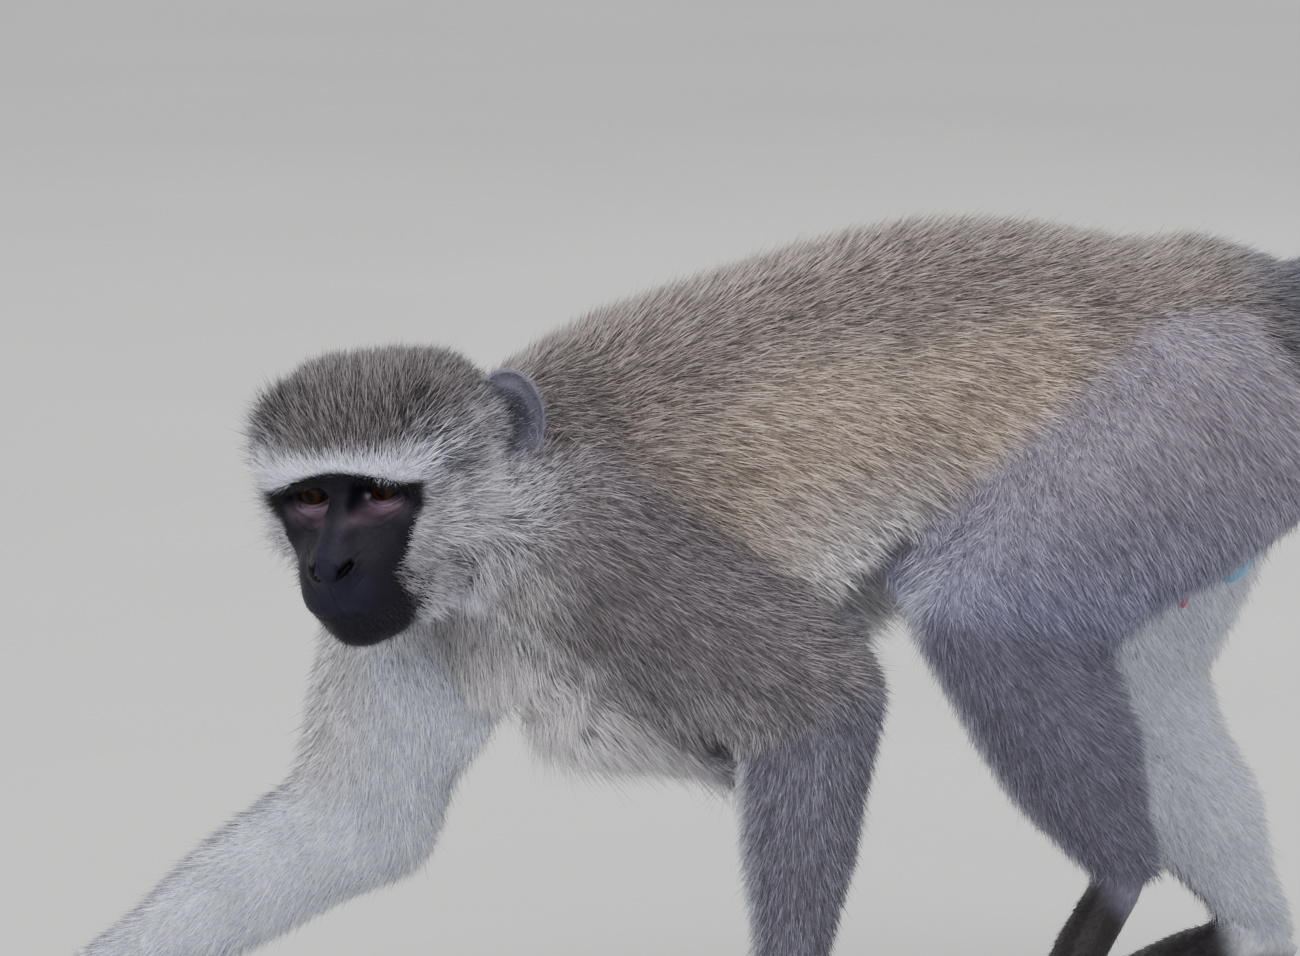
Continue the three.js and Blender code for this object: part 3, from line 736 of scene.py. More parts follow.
def head_colour(at):
    x, y, z = mirrored(at.head).T
    colour = shade(CROWN, RUFF, smooth(y, 62, 92))
    colour = shade(colour, TEMPLE, within(at.head, x=(18, 34), z=(34, 14), y=(70, 50)))
    cheek = within(at.head, x=(22, 31), z=(6, -8)) + smooth(z, -30, -42)
    colour = shade(colour, CHEEK, np.clip(cheek, 0, 1) * smooth(y, 64, 38))
    brow = smooth(z + 0.10 * x, 6, 9) * smooth(z + 0.03 * x, 22, 17)
    colour = shade(colour, BROW, brow * within(at.head, y=(26, 12), x=(43, 34)))
    return shade(colour, BROW, within(at.head, z=(-44, -54), y=(50, 30)))


def face_colour(at):
    # The ridge of the nose and the front of the muzzle take the painted highlight.
    ridge = within(at.head, x=(8, 2), z=(-30, -20, -12, -2))
    front = within(at.head, x=(20, 8), z=(-46, -36, -26, -18))
    colour = shade(FACE, FACE_HIGHLIGHT, np.maximum(ridge, front))
    x, _, z = mirrored(at.head).T
    dx, dz = x - EYE_SIDE, z - EYE_UP
    lid = np.exp(-((dx / 8.5) ** 2) - ((dz + 5.0) / 2.6) ** 2)
    colour = shade(colour, LID_PINK, 0.65 * lid)
    corner = np.exp(-(((dx + 8.4) / 1.0) ** 2) - ((dz + 1.0) / 1.3) ** 2)
    colour = shade(colour, LID_PINK, 0.6 * corner)
    # A painted shadow darkens the skin in and round each nostril's slit.
    hole = limb(mirrored(at.head), *NOSTRIL, NOSTRIL_SHADOW)
    return colour * mix(1.0, 0.25, smooth(hole, 0.4, -0.8))[:, None]


def limb_colour(at, part, side, past):
    """Of one part of a limb: cool outside, pale inside, and dark towards the paw."""
    inside = smooth(-at.n[:, 0] * SIDES[side], -0.45, 0.35)
    colour = shade(LIMB_COLOURS[part], LIMB_INSIDE, inside)
    if part == "upper_arm":
        colour = shade(colour, BELLY, 0.75 * smooth(-at.n[:, 1], 0.25, 0.85))
    if part in LIMB_TOPS:
        joint, top_colour = LIMB_TOPS[part]
        top = JOINTS[f"{joint}_{side}"][2]
        warm = smooth(at.p[:, 2], top - 0.10, top + 0.01) * (1 - inside)
        colour = shade(colour, top_colour, 0.35 * warm)
    dark_end = smooth(at.mm[:, 2], 26, 14)
    if part in ("hand", "foot"):
        dark_end = np.maximum(dark_end, smooth(past, 4, 20))
    return shade(colour, PAW, dark_end)


def coat_colour(at):
    """The coat's colour at each place, before the ticking of its single tufts."""
    high = trunk_height(at)
    wide = ripple(at.mm, 60, 3)
    colour = shade(BELLY, FLANK, smooth(high, 0.36, 0.54))
    colour = shade(colour, BACK, smooth(high + 0.04 * wide, 0.62, 0.80))
    by_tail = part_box("tail_root")[0].y
    rump = at.on("hips") * smooth(at.p[:, 1], by_tail - 0.06, by_tail) * smooth(high, 0.5, 0.7)
    colour = shade(colour, TAIL_TOP, rump)
    front = smooth(-at.p[:, 1], 0.16, 0.28)
    colour = shade(colour, SHOULDER, 0.95 * front * smooth(high, 0.36, 0.52))
    colour = shade(colour, BELLY, front * smooth(-high, -0.52, -0.36))
    colour = shade(colour, SHOULDER, at.on("neck") * smooth(high, 0.34, 0.48))
    past, _ = past_wrists(at.p, at.owner)
    for side in SIDES:
        for part in ARMS + LEGS:
            colour = np.where(at.on(f"{part}_{side}")[:, None], limb_colour(at, part, side, past), colour)
    along = smooth(at.p[:, 1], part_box("tail_tip")[0].y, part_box("tail_tip")[1].y)
    tail_colour = shade(TAIL_TOP, LIMB_INSIDE, 0.5 * smooth(-at.n[:, 2], 0.1, 0.8))
    tail_colour = shade(tail_colour, TAIL_END, smooth(along, 0.3, 0.9))
    colour = np.where(at.on(*TAIL)[:, None], tail_colour, colour)
    colour = np.where(at.on("head", "face")[:, None], head_colour(at), colour)
    return colour * (1 + 0.07 * ripple(at.mm, 22, 5))[:, None]


# ---------------- the lie of the coat
TAIL_CUTS = 5  # through each length of the tail
NECK_WAY = unit((0, 0.75, -0.45))
TRUNK_WAY = (0, 0.95, -0.15)
BACKWARD = np.array([0, 0.6, -0.75])
# Each part of a limb: the joints it runs between, and how far its hairs turn from it to backward.
BONES = {
    "upper_arm": ("shoulder", "elbow", 0.25),
    "forearm": ("elbow", "wrist", 0.12),
    "hand": ("wrist", "fingers", 0),
    "thigh": ("hip", "knee", 0.75),
    "shank": ("knee", "ankle", 0.15),
    "foot": ("ankle", "toes", 0),
}
HAIR_CENTRE = (0, -18, -6)  # of the head, from which its hairs point away


def tail_line():
    """Points along the middle of the tail, from its root to its tip."""
    line = []
    for name in TAIL:
        low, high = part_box(name)
        points = NODE_POINTS[name]
        for k in range(TAIL_CUTS):
            cut = low.y + (high.y - low.y) * (k + 0.5) / TAIL_CUTS
            near = np.abs(points[:, 1] - cut) < 0.2 * (high.y - low.y)
            line.append(points[near].mean(0))
    return np.array(line)


def head_way(head):
    """Out from the middle of the face and back, and straight up over the eyes, in the head's frame."""
    outward = unit((head - HAIR_CENTRE) * (1.25, 1.0, 1.0))
    outward[:, 1] += 0.5
    outward[:, 2] -= 0.35 * smooth(head[:, 2], 0, -30)
    upward = np.stack([0.022 * head[:, 0], np.full(len(head), 0.3), np.ones(len(head))], 1)
    return shade(outward, unit(upward), within(head, z=(2, 6, 16, 26), y=(18, 6), x=(38, 28)))


def lie(at, pairs):
    """The way the hairs point at each place, along the skin."""
    way = np.tile(TRUNK_WAY, (len(at.p), 1))
    way[:, 2] -= 0.55 * smooth(trunk_height(at), 0.75, 0.35)
    line = tail_line()
    along = unit(np.gradient(line, axis=0))
    nearest = np.linalg.norm(at.p[:, None] - line[None], axis=2).argmin(1)
    way = np.where(at.on(*TAIL)[:, None], along[nearest], way)
    for side in SIDES:
        for part, (start, end, drift) in BONES.items():
            bone = unit(JOINTS[f"{end}_{side}"] - JOINTS[f"{start}_{side}"])
            way[at.on(f"{part}_{side}")] = unit(bone * (1 - drift) + BACKWARD * drift)
    way[at.on("neck")] = NECK_WAY
    outward = head_way(at.head)
    way = np.where(at.on("head", "face", *EARS)[:, None], unit(outward @ HEAD_AXES.T), way)
    way = relax(way, pairs, 45)
    way -= at.n * (way * at.n).sum(1)[:, None]
    return unit(way)


# Each region of the coat: tufts to a square millimetre, length and width in millimetres, how far the
# hairs stand up in degrees, and how strongly light and dark tufts are mixed.
COAT = {
    "head": (1.75, 9.5, 0.42, 40, 1.18),
    "face": (1.20, 8.0, 0.38, 30, 0.50),
    "neck": (0.90, 14.0, 0.44, 30, 0.65),
    "chest": (0.86, 12.0, 0.52, 26, 0.85),
    "loin": (0.84, 12.0, 0.52, 25, 0.85),
    "hips": (0.84, 11.5, 0.52, 25, 0.80),
    "upper_arm": (0.90, 11.0, 0.50, 25, 0.80),
    "forearm": (0.95, 9.5, 0.46, 24, 0.70),
    "hand": (0.60, 4.0, 0.32, 16, 0.30),
    "thigh": (0.84, 11.0, 0.50, 24, 0.62),
    "shank": (0.92, 9.0, 0.46, 23, 0.60),
    "foot": (0.60, 4.0, 0.32, 16, 0.30),
    "tail_root": (0.80, 10.5, 0.50, 25, 0.60),
    "tail_middle": (0.80, 9.5, 0.48, 23, 0.60),
    "tail_tip": (0.80, 9.0, 0.46, 22, 0.50),
    "ear": (0.40, 7.0, 0.20, 24, 0.60),
}
# The pieces of the coat: their slot, their nodes and how they are cut. Halves lie on either side of the
# middle of the head or body, and limbs have a piece for each side.
PIECES = {
    "head": ("back_coat", ["head", "face", *EARS], "halves"),
    "neck": ("pale_coat", ["neck"], "whole"),
    "chest": ("back_coat", ["chest"], "halves"),
    "loin": ("back_coat", ["loin"], "whole"),
    "hips": ("back_coat", ["hips"], "whole"),
    "arm": ("limb_coat", ARMS, "limbs"),
    "thigh": ("limb_coat", ["thigh"], "limbs"),
    "shank": ("limb_coat", ["shank", "foot"], "limbs"),
    "tail": ("tail_coat", TAIL, "whole"),
}
# The share of the tufts that are guard hairs, and how much longer and steeper those are.
GUARD_SHARE, GUARD_LENGTH, GUARD_RISE = 0.05, 1.35, 8
DARK_TO, LIGHT_FROM = 0.40, 0.68  # tufts whose random pick lies outside these are dark and light
TUFTS = 336_000
MOST_TRIANGLES = 198_000  # in one piece
BENT = 13.0  # millimetres, the length from which a tuft has a bend
PATCH = 0.003  # across, on the map that a tuft's colour is kept on


def coat_table(at):
    """The coat's measures at each place, from the table and the place on the head and belly."""
    rows = np.array([COAT[kind(name)] for name in at.owner])
    table = dict(zip(("thick", "long", "wide", "stand", "ticking"), rows.T.copy()))

    def change(share, **wanted):
        for measure, value in wanted.items():
            table[measure] = mix(table[measure], value, share)

    x, y, z = mirrored(at.head).T
    on_head = at.on("head", "face")
    cheek = on_head * within(at.head, x=(20, 34), z=(12, -2)) * mix(0.30, 1.0, smooth(y, 36, 18))
    temple = on_head * within(at.head, x=(24, 34), z=(2, 14), y=(36, 18))
    change(cheek, long=24.0, stand=48.0, ticking=0.55)
    change(temple, long=18.0, stand=50.0)
    by_ear = on_head * within(at.head, x=(28, 36), y=(24, 36), z=(-26, -14))
    change(by_ear, long=7.0)
    change(np.maximum(cheek, temple), wide=0.35)
    brow = on_head * within(at.head, z=(0, 8, 16, 24), y=(24, 10), x=(38, 30))
    change(brow, long=8.0, stand=30.0, wide=0.32, thick=2.6, ticking=0.30)
    beside_face = on_head * smooth(bare_rim(at.head), -12, -3) * smooth(y, 40, 28)
    change(beside_face, long=7.0, stand=26.0)
    throat = on_head * smooth(z, -40, -52)
    change(throat, long=16.0, ticking=0.25)
    trunk = at.on(*TRUNK)
    belly = trunk * smooth(trunk_height(at), 0.46, 0.30)
    change(belly, long=22.0, wide=0.42, ticking=0.25)
    between_arms = trunk * smooth(-at.n[:, 2], 0.1, 0.6) * smooth(-at.p[:, 1], 0.20, 0.26)
    change(between_arms, long=28.0, stand=44.0)
    for side, s in SIDES.items():
        inside = at.on(*[f"{part}_{side}" for part in ARMS + LEGS]) * smooth(-at.n[:, 0] * s, 0.1, 0.7)
        change(inside, ticking=0.3)
    naked = bare(at.head) * on_head
    low_face = naked * smooth(z, -34, -46)
    change(naked, long=mix(2.0, 3.6, low_face), thick=mix(0.25, 1.2, low_face))
    change(naked, wide=0.2, stand=28.0, ticking=0.3)
    from_eye = np.linalg.norm(np.stack([x - EYE_SIDE, (z - EYE_UP) * 1.2], 1), axis=1)
    from_nostril = limb(mirrored(at.head), *NOSTRIL, NOSTRIL_SHADOW)
    table["thick"] *= 1 - naked * smooth(from_eye, 17, 14)
    table["thick"] *= 1 - naked * smooth(from_nostril, 5, 3)
    table["thick"] *= 1 - at.on(*PAWS) * smooth(-at.n[:, 2], 0.2, 0.6)
    loose = mix(0.17, 0.27, on_head * (1 - naked))
    return np.stack([*table.values(), loose], 1)


def set_tint(mesh, colours):
    layer = mesh.color_attributes.new("tint", "FLOAT_COLOR", "POINT")
    layer.data.foreach_set("color", np.c_[colours, np.ones(len(colours))].astype(np.float32).ravel())


def make_mesh(name, points, triangles, tints, spots):
    """A mesh of triangles with a colour at each point and a place on the bake map at each corner."""
    mesh = bpy.data.meshes.new(name)
    mesh.vertices.add(len(points))
    mesh.vertices.foreach_set("co", points.astype(np.float32).ravel())
    mesh.loops.add(triangles.size)
    mesh.loops.foreach_set("vertex_index", triangles.astype(np.int32).ravel())
    mesh.polygons.add(len(triangles))
    mesh.polygons.foreach_set("loop_start", np.arange(0, triangles.size, 3, dtype=np.int32))
    mesh.update(calc_edges=True)
    set_tint(mesh, tints)
    layer = mesh.uv_layers.new(name="OFBake")
    layer.uv.foreach_set("vector", spots[triangles.ravel()].astype(np.float32).ravel())
    mesh.shade_smooth()
    return in_scene(name, mesh)


def unwrapped(p):
    """Places on a 0 to 1 square for points round a form, unrolled about its longest way."""
    middle = p.mean(0)
    _, _, axes = np.linalg.svd(p[:: max(1, len(p) // 4000)] - middle, full_matrices=False)
    along, side, other = ((p - middle) @ axes.T).T
    turn = np.arctan2(other, side) / (2 * math.pi) + 0.5
    place = (along - along.min()) / np.ptp(along)
    return 0.01 + 0.98 * np.stack([turn, place], 1)


SPINDLE = np.array([[0, 2, 1], [0, 3, 2], [0, 1, 3], [4, 1, 2], [4, 2, 3], [4, 3, 1]])
SPIKE = np.array([[0, 2, 1], [0, 1, 3], [1, 2, 3], [2, 0, 3]])
SPINDLE_SPOTS = np.array([[-0.5, 0], [0.0, 0.45], [0.05, -0.45], [0.1, 0.05], [0.5, 0]]) * PATCH
SPIKE_SPOTS = np.array([[-0.5, 0.45], [-0.45, -0.45], [-0.4, 0.05], [0.5, 0]]) * PATCH


def tufts(name, root, out, way, measures, colour):
    """Thin three-sided tufts: short ones are straight spikes and long ones spindles bent at the middle."""
    count = len(root)
    _, long, wide, stand, ticking, loose = measures.T
    bent = long > BENT
    long = long * chance.uniform(0.70, 1.15, count)
    guard = chance.random(count) < GUARD_SHARE
    long = np.where(guard, long * GUARD_LENGTH, long)
    wide = np.where(bent, wide, wide * 1.25) * chance.uniform(0.75, 1.2, count)
    wander = np.stack([ripple(root / MM, 9, 21 + k) for k in range(3)], 1) * 0.08
    way = unit(way + wander + chance.normal(0, 1, (count, 3)) * loose[:, None])
    angle = np.radians(stand * chance.uniform(0.7, 1.4, count) + guard * GUARD_RISE)[:, None]
    first = unit(way * np.cos(angle) + out * np.sin(angle))
    second = unit(way * np.cos(angle * 0.55) + out * np.sin(angle * 0.55) - (0, 0, 0.10))
    long = long[:, None] * MM
    across = unit(np.cross(first, out + chance.normal(0, 0.3, (count, 3))))
    up = np.cross(first, across)
    half = wide[:, None] * MM / 2
    ring = [half * (across * math.cos(a) + up * 0.8 * math.sin(a)) for a in (0.3, 2.4, 4.5)]
    low = root - out * 0.8 * MM
    middle = root + first * long * 0.45

    pick = chance.random(count)
    dark = pick < DARK_TO
    light = pick > LIGHT_FROM
    end = 1 + ticking * np.where(light, 1.25, np.where(dark, -0.80, -0.05))
    mid = 1 + ticking * np.where(light, 0.55, np.where(dark, -0.72, -0.10))
    end = colour * (end * chance.uniform(0.86, 1.14, count))[:, None]
    mid = colour * (mid * chance.uniform(0.86, 1.12, count))[:, None]
    # Each tuft's root is darker: partly the hairs' own dark bases, partly painted shade deep in the coat.
    base = colour * (0.80 - 0.25 * ticking)[:, None]
    spot = unwrapped(root)[:, None]

    curved = np.flatnonzero(bent)
    straight = np.flatnonzero(~bent)
    bend = [middle + corner for corner in ring]
    spindles = np.stack([low, *bend, middle + second * long * 0.55], 1)[curved]
    spikes = np.stack([*[low + corner for corner in ring], root + first * long], 1)[straight]
    points = np.r_[spindles.reshape(-1, 3), spikes.reshape(-1, 3)]
    tints = np.r_[
        np.stack([base, mid, mid, mid, end], 1)[curved].reshape(-1, 3),
        np.stack([mix(base, mid, 0.6)] * 3 + [end], 1)[straight].reshape(-1, 3),
    ]
    spots = np.r_[
        (spot[curved] + SPINDLE_SPOTS).reshape(-1, 2),
        (spot[straight] + SPIKE_SPOTS).reshape(-1, 2),
    ]
    bends = (np.arange(len(curved))[:, None, None] * 5 + SPINDLE).reshape(-1, 3)
    points_before = len(curved) * 5
    rest = (np.arange(len(straight))[:, None, None] * 4 + SPIKE + points_before).reshape(-1, 3)
    return make_mesh(name, points, np.r_[bends, rest], tints, spots)


def coat_pieces(at):
    """The name and slot of each piece of the coat, and which of the places it has."""
    left = np.where(at.on("head", "face", *EARS), at.head[:, 0], at.p[:, 0]) >= 0
    for part, (slot, nodes, cut) in PIECES.items():
        if cut == "whole":
            yield f"coat_{part}", slot, at.on(*nodes)
            continue
        for side in SIDES:
            if cut == "halves":
                own = at.on(*nodes) & (left == (side == "left"))
            else:
                own = at.on(*[f"{name}_{side}" for name in nodes])
            yield f"coat_{part}_{side}", slot, own


def make_coat(skin, at, values, way, colour):
    """Roots spread evenly over the skin, as thick as the table says, and a piece for each region."""
    corners = triangles_of(skin.data)
    a, b, c = (at.p[corners[:, k]] for k in range(3))
    area = np.linalg.norm(np.cross(b - a, c - a), axis=1) / 2 / MM**2
    wanted = area * values[corners][:, :, 0].mean(1)
    share = TUFTS / wanted.sum()
    print("tufts to a square millimetre, of those asked for:", round(share, 3))
    total = np.cumsum(wanted * share)
    marks = np.arange(int(total[-1])) + chance.uniform(0, 1, int(total[-1]))
    face = np.searchsorted(total, np.sort(marks)).clip(0, len(corners) - 1)
    weight = chance.dirichlet((1, 1, 1), len(face))

    def spot(values):
        return (values[corners[face]] * weight[..., None]).sum(1)

    root = spot(at.p)
    out = unit(spot(at.n))
    owner = at.owner[corners[face, weight.argmax(1)]]
    here = Places(root, out, owner)
    lying = unit(spot(way) - out * (spot(way) * out).sum(1)[:, None])
    measures = spot(values)
    tone = spot(colour)
    cost = np.where(measures[:, 1] > BENT, len(SPINDLE), len(SPIKE))
    print("coat triangles:", cost.sum())
    for name, slot, own in coat_pieces(here):
        chosen = np.flatnonzero(own)
        kept = MOST_TRIANGLES / cost[chosen].sum()
        if kept < 1:
            print(name, "keeps only", round(kept, 3))
            chosen = chosen[chance.random(len(chosen)) < kept]
        piece = tufts(name, root[chosen], out[chosen], lying[chosen], measures[chosen], tone[chosen])
        piece.data.materials.append(COAT_MATERIAL)
        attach(piece, "root")
        print(name, len(chosen), len(piece.data.polygons))


# ---------------- materials
def node(material, kind_name, inputs=(), **settings):
    made = material.node_tree.nodes.new(kind_name)
    for key, value in settings.items():
        setattr(made, key, value)
    for key, value in dict(inputs).items():
        made.inputs[key].default_value = value
    return made


def blank_material(name, **sockets):
    """A material with its Principled shader and a way to link nodes."""
    material = bpy.data.materials.new(name)
    material.use_nodes = True
    shader = material.node_tree.nodes["Principled BSDF"]
    for key, value in sockets.items():
        shader.inputs[key.replace("_", " ")].default_value = value
    return material, shader, material.node_tree.links.new


def noise(material, scale, detail=3.0, rough=0.5):
    """Noise on the object's own coordinates, in waves to the metre."""
    place = node(material, "ShaderNodeTexCoord")
    made = node(material, "ShaderNodeTexNoise", {"Scale": scale, "Detail": detail, "Roughness": rough})
    material.node_tree.links.new(place.outputs["Object"], made.inputs["Vector"])
    return made.outputs["Fac"]


def varied(material, low, high, *waves):
    """Noise of the given waves, from low to high."""
    value = noise(material, *waves)
    span = {"From Min": 0.3, "From Max": 0.7, "To Min": low, "To Max": high}
    made = node(material, "ShaderNodeMapRange", span)
    material.node_tree.links.new(value, made.inputs["Value"])
    return made.outputs["Result"]


def mottle(material, shader, colour, low, high, *waves):
    """Gives the shader a colour, which is a socket or three numbers, times noise from low to high."""
    link = material.node_tree.links.new
    value = varied(material, low, high, *waves)
    made = node(material, "ShaderNodeMix", {"Factor": 1.0}, data_type="RGBA", blend_type="MULTIPLY")
    if isinstance(colour, tuple):
        made.inputs[6].default_value = (*colour, 1)
    else:
        link(colour, made.inputs[6])
    link(value, made.inputs[7])
    link(made.outputs[2], shader.inputs["Base Color"])


def bump(material, shader, strength, distance, *waves):
    height = noise(material, *waves)
    made = node(material, "ShaderNodeBump", {"Strength": strength, "Distance": distance})
    material.node_tree.links.new(height, made.inputs["Height"])
    material.node_tree.links.new(made.outputs["Normal"], shader.inputs["Normal"])


def attribute(material, name, output):
    """What is kept under this name at the points of the mesh."""
    return node(material, "ShaderNodeAttribute", attribute_name=name).outputs[output]


def coat_material():
    material, shader, _ = blank_material("fur", Roughness=0.62, Sheen_Weight=0.12, Specular_IOR_Level=0.28)
    mottle(material, shader, attribute(material, "tint", "Color"), 0.86, 1.12, 900)
    return material


def skin_material():
    material, shader, link = blank_material("skin", Specular_IOR_Level=0.19)
    mottle(material, shader, attribute(material, "tint", "Color"), 0.78, 1.2, 260, 5.0)
    link(varied(material, 0.46, 0.62, 500), shader.inputs["Roughness"])
    bump(material, shader, 0.45, 0.0004, 1500, 4.0, 0.6)
    return material


# The eye's colours from the middle of the pupil out, as shares of a quarter turn.
IRIS = [
    (0.0, (0.002, 0.0015, 0.001)),
    (0.135, (0.002, 0.0015, 0.001)),
    (0.155, (0.016, 0.006, 0.002)),
    (0.26, (0.034, 0.012, 0.004)),
    (0.345, (0.018, 0.006, 0.002)),
    (0.385, (0.006, 0.003, 0.002)),
    (0.45, (0.018, 0.010, 0.009)),
    (1.0, (0.07, 0.04, 0.04)),
]


def eye_material():
    material, shader, link = blank_material("eye", Roughness=0.4, Coat_Weight=0.08, Coat_Roughness=0.03)
    shader.inputs["Specular IOR Level"].default_value = 0.05
    gaze = attribute(material, "gaze", "Fac")
    ramp = node(material, "ShaderNodeValToRGB")
    for index, (place, colour) in enumerate(IRIS):
        stop = ramp.color_ramp.elements[index] if index < 2 else ramp.color_ramp.elements.new(place)
        stop.position = place
        stop.color = (*colour, 1)
    link(gaze, ramp.inputs["Fac"])
    mottle(material, shader, ramp.outputs["Color"], 0.7, 1.3, 1700, 4.0, 0.7)
    return material


def nail_material():
    material, shader, _ = blank_material("nail", Roughness=0.3, Specular_IOR_Level=0.5)
    mottle(material, shader, (0.02, 0.016, 0.014), 0.6, 1.6, 900)
    bump(material, shader, 0.2, 0.0002, 2200)
    return material


def bare_part_material(name, colour):
    """Smooth coloured skin, finely creased."""
    material, shader, _ = blank_material(name, Roughness=0.42, Subsurface_Weight=0.1)
    shader.inputs["Subsurface Radius"].default_value = (0.004, 0.002, 0.002)
    mottle(material, shader, colour, 0.75, 1.2, 300, 5.0)
    bump(material, shader, 0.5, 0.0006, 900, 5.0, 0.6)
    return material


# ---------------- small separate pieces
def add_object(name, bm, material, slot, *replaced):
    bm.normal_update()
    mesh = finished(bm, name)
    mesh.shade_smooth()
    mesh.materials.append(material)
    ob = in_scene(name, mesh)
    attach(ob, "root")
    if replaced:
        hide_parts(*replaced)
    return ob


GAZE = (0.0, -8.0)  # degrees the eyes turn left and down from straight ahead
CORNEA_EDGE = 38  # degrees from the middle of the pupil
CORNEA_RISE = 0.55


def make_eye(side, material):
    bm = bmesh.new()
    bmesh.ops.create_uvsphere(bm, u_segments=48, v_segments=40, radius=EYE_RADIUS)
    points = points_of(bm)
    angle = np.degrees(np.arccos(np.clip(points[:, 2] / EYE_RADIUS, -1, 1)))
    rise = CORNEA_RISE * (1 - smooth(angle, 0, CORNEA_EDGE))
    points *= (1 + rise / EYE_RADIUS)[:, None]
    points = np.stack([points[:, 0], -points[:, 2], points[:, 1]], 1)  # the pupil now looks along -Y
    move_points(bm, from_head(turned(points, *GAZE) + EYE_CENTRE * (SIDES[side], 1, 1)))
    eye = add_object(f"eyeball_{side}", bm, material, "eye", f"eye_{side}")
    gaze = eye.data.attributes.new("gaze", "FLOAT", "POINT")
    gaze.data.foreach_set("value", (angle / 90).astype(np.float32))


DIGITS = 5


def finger_tips(name, joint):
    """The tips of a paw's digits: the farthest points from its joint, one digit at a time."""
    points = NODE_POINTS[name]
    flat = (points - joint) * (1, 1, 0)
    free = points[:, 2] < 0.016
    tips = []
    for _ in range(DIGITS):
        reach = np.where(free, np.linalg.norm(flat, axis=1), 0)
        best = reach.argmax()
        tips.append(points[best])
        way = unit(flat[best])
        back = np.clip((flat[best] - flat) @ way, 0, 0.02)
        spine = flat[best] - back[:, None] * way
        free &= np.linalg.norm(flat - spine, axis=1) > 0.0062
    return tips


NAIL = {"long": 5.0, "wide": 3.4, "high": 1.5}


def make_nails(material):
    whole = bmesh.new()
    for side in SIDES:
        for paw, joint in (("hand", "wrist"), ("foot", "ankle")):
            root = JOINTS[f"{joint}_{side}"]
            for tip in finger_tips(f"{paw}_{side}", root):
                way = unit((tip - root) * (1, 1, 0))
                across = np.array([-way[1], way[0], 0])
                centre = tip - way * 1.6 * MM
                centre[2] = 5.0 * MM
                axes = Matrix((across, way, (0, 0, 1))).transposed().to_4x4()
                size = Matrix.Diagonal((NAIL["wide"] / 2, NAIL["long"] / 2, NAIL["high"], 1 / MM)) * MM
                place = Matrix.Translation(Vector(centre)) @ axes @ size
                bmesh.ops.create_uvsphere(whole, u_segments=12, v_segments=8, radius=1, matrix=place)
    add_object("nails", whole, material, "nail")


def seamed(ball):
    """How far a ball is drawn in for a seam down its middle."""
    return 1 - 0.16 * np.exp(-((ball[:, :1] / 0.16) ** 2)) * smooth(ball[:, 2:], 0.7, -0.2)


def tapered(ball):
    """How far a ball is drawn in towards its lower end."""
    return 1 - 0.22 * smooth(ball[:, 2:], 0, -1) * (1, 1, 0)


def add_ball(name, material, slot, subdivisions, drawn_in):
    """A ball as large as the named node, drawn in by a function of its points."""
    low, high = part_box(name)
    bm = bmesh.new()
    bmesh.ops.create_icosphere(bm, subdivisions=subdivisions, radius=1)
    ball = points_of(bm)
    move_points(bm, ball * drawn_in(ball) * np.array((high - low) / 2) + np.array((low + high) / 2))
    add_object(f"{name}_skin", bm, material, slot, name)


# ---------------- camera, light and floor
AIM = Vector((-0.0073, -0.2198, 0.256))  # the point in the middle of the picture
AZIMUTH, ELEVATION, DISTANCE = math.radians(72), math.radians(8), 4.0
LENS = 257.6


def looking(name, data, place, way):
    """A camera or light at a place, looking a way."""
    ob = in_scene(name, data)
    ob.location = place
    ob.rotation_mode = "QUATERNION"
    ob.rotation_quaternion = way.to_track_quat("-Z", "Y")
    return ob


def make_camera():
    camera = bpy.data.cameras.new("camera")
    camera.lens = LENS
    camera.clip_end = 200
    level = math.cos(ELEVATION)
    back = Vector((math.sin(AZIMUTH) * level, -math.cos(AZIMUTH) * level, math.sin(ELEVATION)))
    bpy.context.scene.camera = looking("camera", camera, AIM + back * DISTANCE, -back)


def add_light(name, place, size, power):
    light = bpy.data.lights.new(name, "AREA")
    light.size = size
    light.energy = power
    looking(name, light, place, AIM - Vector(place))


def make_light():
    add_light("sky", (0.6, -0.2, 3.0), 2.6, 74)
    add_light("window", (2.6, -2.2, 1.7), 2.2, 48)
    add_light("back", (-2.4, 1.6, 1.8), 1.8, 26)
    world = bpy.data.worlds.new("world")
    world.use_nodes = True
    background = world.node_tree.nodes["Background"]
    background.inputs["Color"].default_value = (0.86, 0.87, 0.88, 1)
    background.inputs["Strength"].default_value = 1.4
    bpy.context.scene.world = world


def make_floor():
    bm = bmesh.new()
    bmesh.ops.create_circle(bm, cap_ends=True, segments=64, radius=90)
    floor = in_scene("floor", finished(bm, "floor"))
    material, shader, _ = blank_material("floor", Roughness=0.8, Specular_IOR_Level=0.2)
    mottle(material, shader, (0.46, 0.455, 0.445), 0.97, 1.03, 3)
    floor.data.materials.append(material)


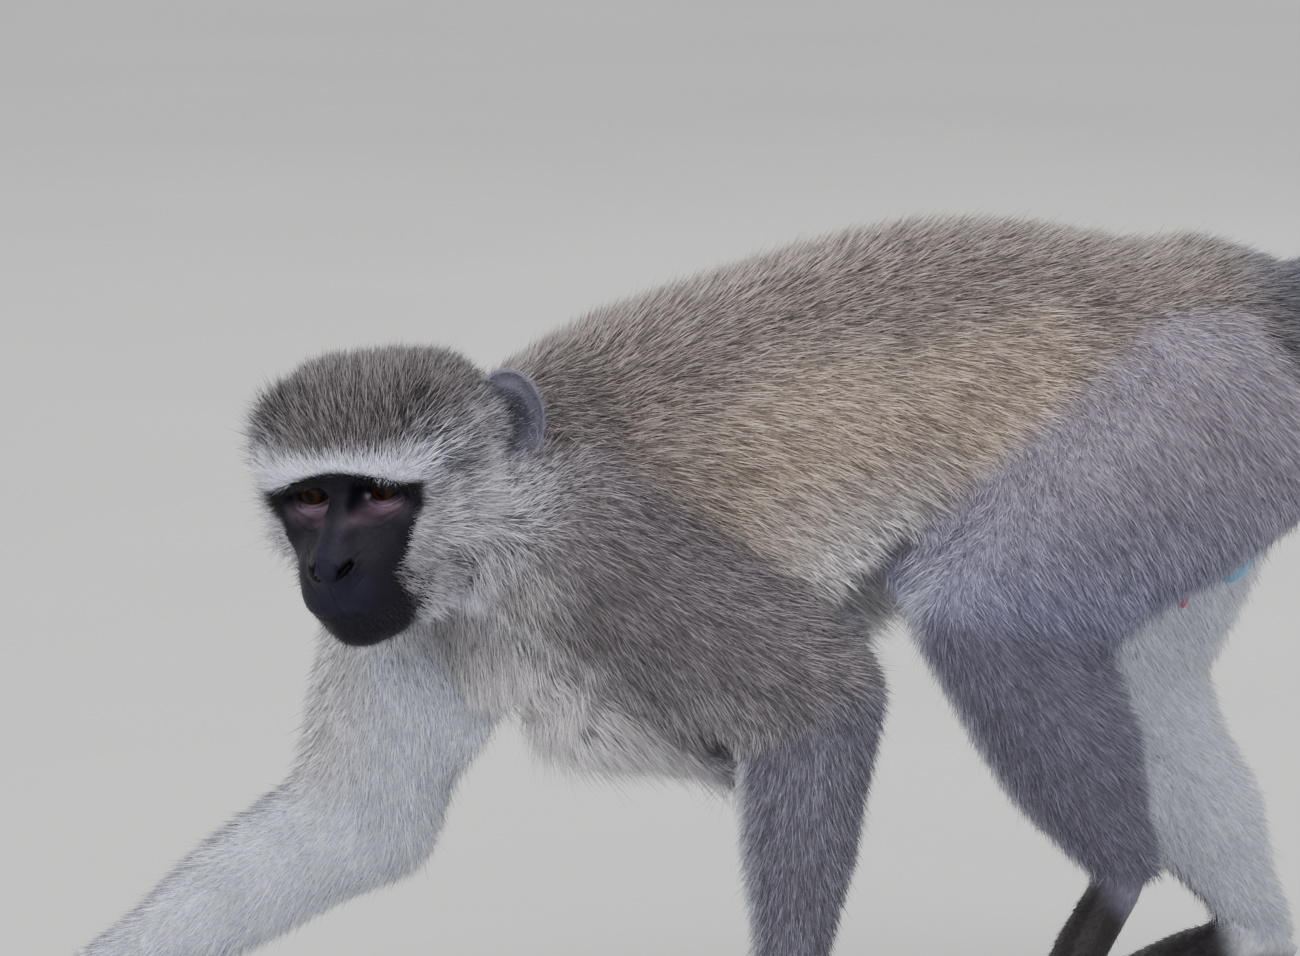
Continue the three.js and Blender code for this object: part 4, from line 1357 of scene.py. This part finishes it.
# ---------------- assembly
def black_brow(at):
    """The share of the row of black hairs along the top of the bare face."""
    rim = bare_rim(at.head)
    x, y, z = mirrored(at.head).T
    beside_eyes = smooth(x, 27, 34)
    share = at.on("head", "face") * smooth(rim, mix(-2.6, -4.0, beside_eyes), mix(-1.4, -2.2, beside_eyes))
    return share * (smooth(rim, 4.0, 2.0) * smooth(z, -10, -3) * smooth(y, 22, 12))


def hair_colour(at, coat, brow):
    """The coat's colour with the hairs of the face, its edge and the ears."""
    naked = bare(at.head) * at.on("head", "face")
    edge = smooth(naked, 0.05, 0.5) * (1 - smooth(naked, 0.9, 1.0))
    colour = shade(shade(coat, FACE * 0.9, naked), BROW_BLACK, np.clip(brow + 0.7 * edge, 0, 1))
    return np.where(at.on(*EARS)[:, None], EAR_HAIR, colour)


def skin_colour(at, coat):
    """Darker than the coat over it, as painted shade between the tufts, with the face, and ears with
    painted shade in their hole.
    """
    # The skin under the coat takes 0.7 of the coat's colour: painted shade in the gaps between the tufts.
    colour = shade(coat * 0.7, face_colour(at), bare(at.head, grown=4.0) * at.on("head", "face"))
    # Painted shade in each ear's hole: its skin darkens to a fifth of its colour towards the hole.
    from_hole = np.linalg.norm(mirrored(at.head) - EAR_MIDDLE, axis=1)
    ear_colour = EAR_SKIN * mix(0.20, 1.25, smooth(from_hole, 6, 19))[:, None]
    return np.where(at.on(*EARS)[:, None], ear_colour, colour)


make_camera()
make_light()
make_floor()
COAT_MATERIAL = coat_material()

skin = make_skin()
skin.data.materials.append(skin_material())
pairs = edges(skin.data)
SKIN_NODES = [*BODY, *EARS]
owner = np.array(SKIN_NODES)[nearest_nodes(SKIN_NODES)(vertices(skin.data))]
at = Places(vertices(skin.data), normals(skin.data), owner)
coat = relax(np.where(at.on(*EARS)[:, None], EAR_SKIN, coat_colour(at)), pairs, 8)
values = relax(coat_table(at), pairs, 3)
way = lie(at, pairs)
brow = black_brow(at)
values[:, 0] += 2.2 * brow
values[:, 1] = mix(values[:, 1], 4.8, brow)
values[:, 3] = mix(values[:, 3], 36.0, brow)
set_tint(skin.data, skin_colour(at, coat))
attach(skin, "root")
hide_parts(*BODY, *EARS)

make_coat(skin, at, values, way, hair_colour(at, coat, brow))
EYE_MATERIAL = eye_material()
for side in SIDES:
    make_eye(side, EYE_MATERIAL)
make_nails(nail_material())
add_ball("scrotum", bare_part_material("blue skin", (0.10, 0.34, 0.56)), "blue_skin", 5, seamed)
add_ball("prepuce", bare_part_material("red skin", (0.45, 0.04, 0.08)), "red_skin", 4, tapered)
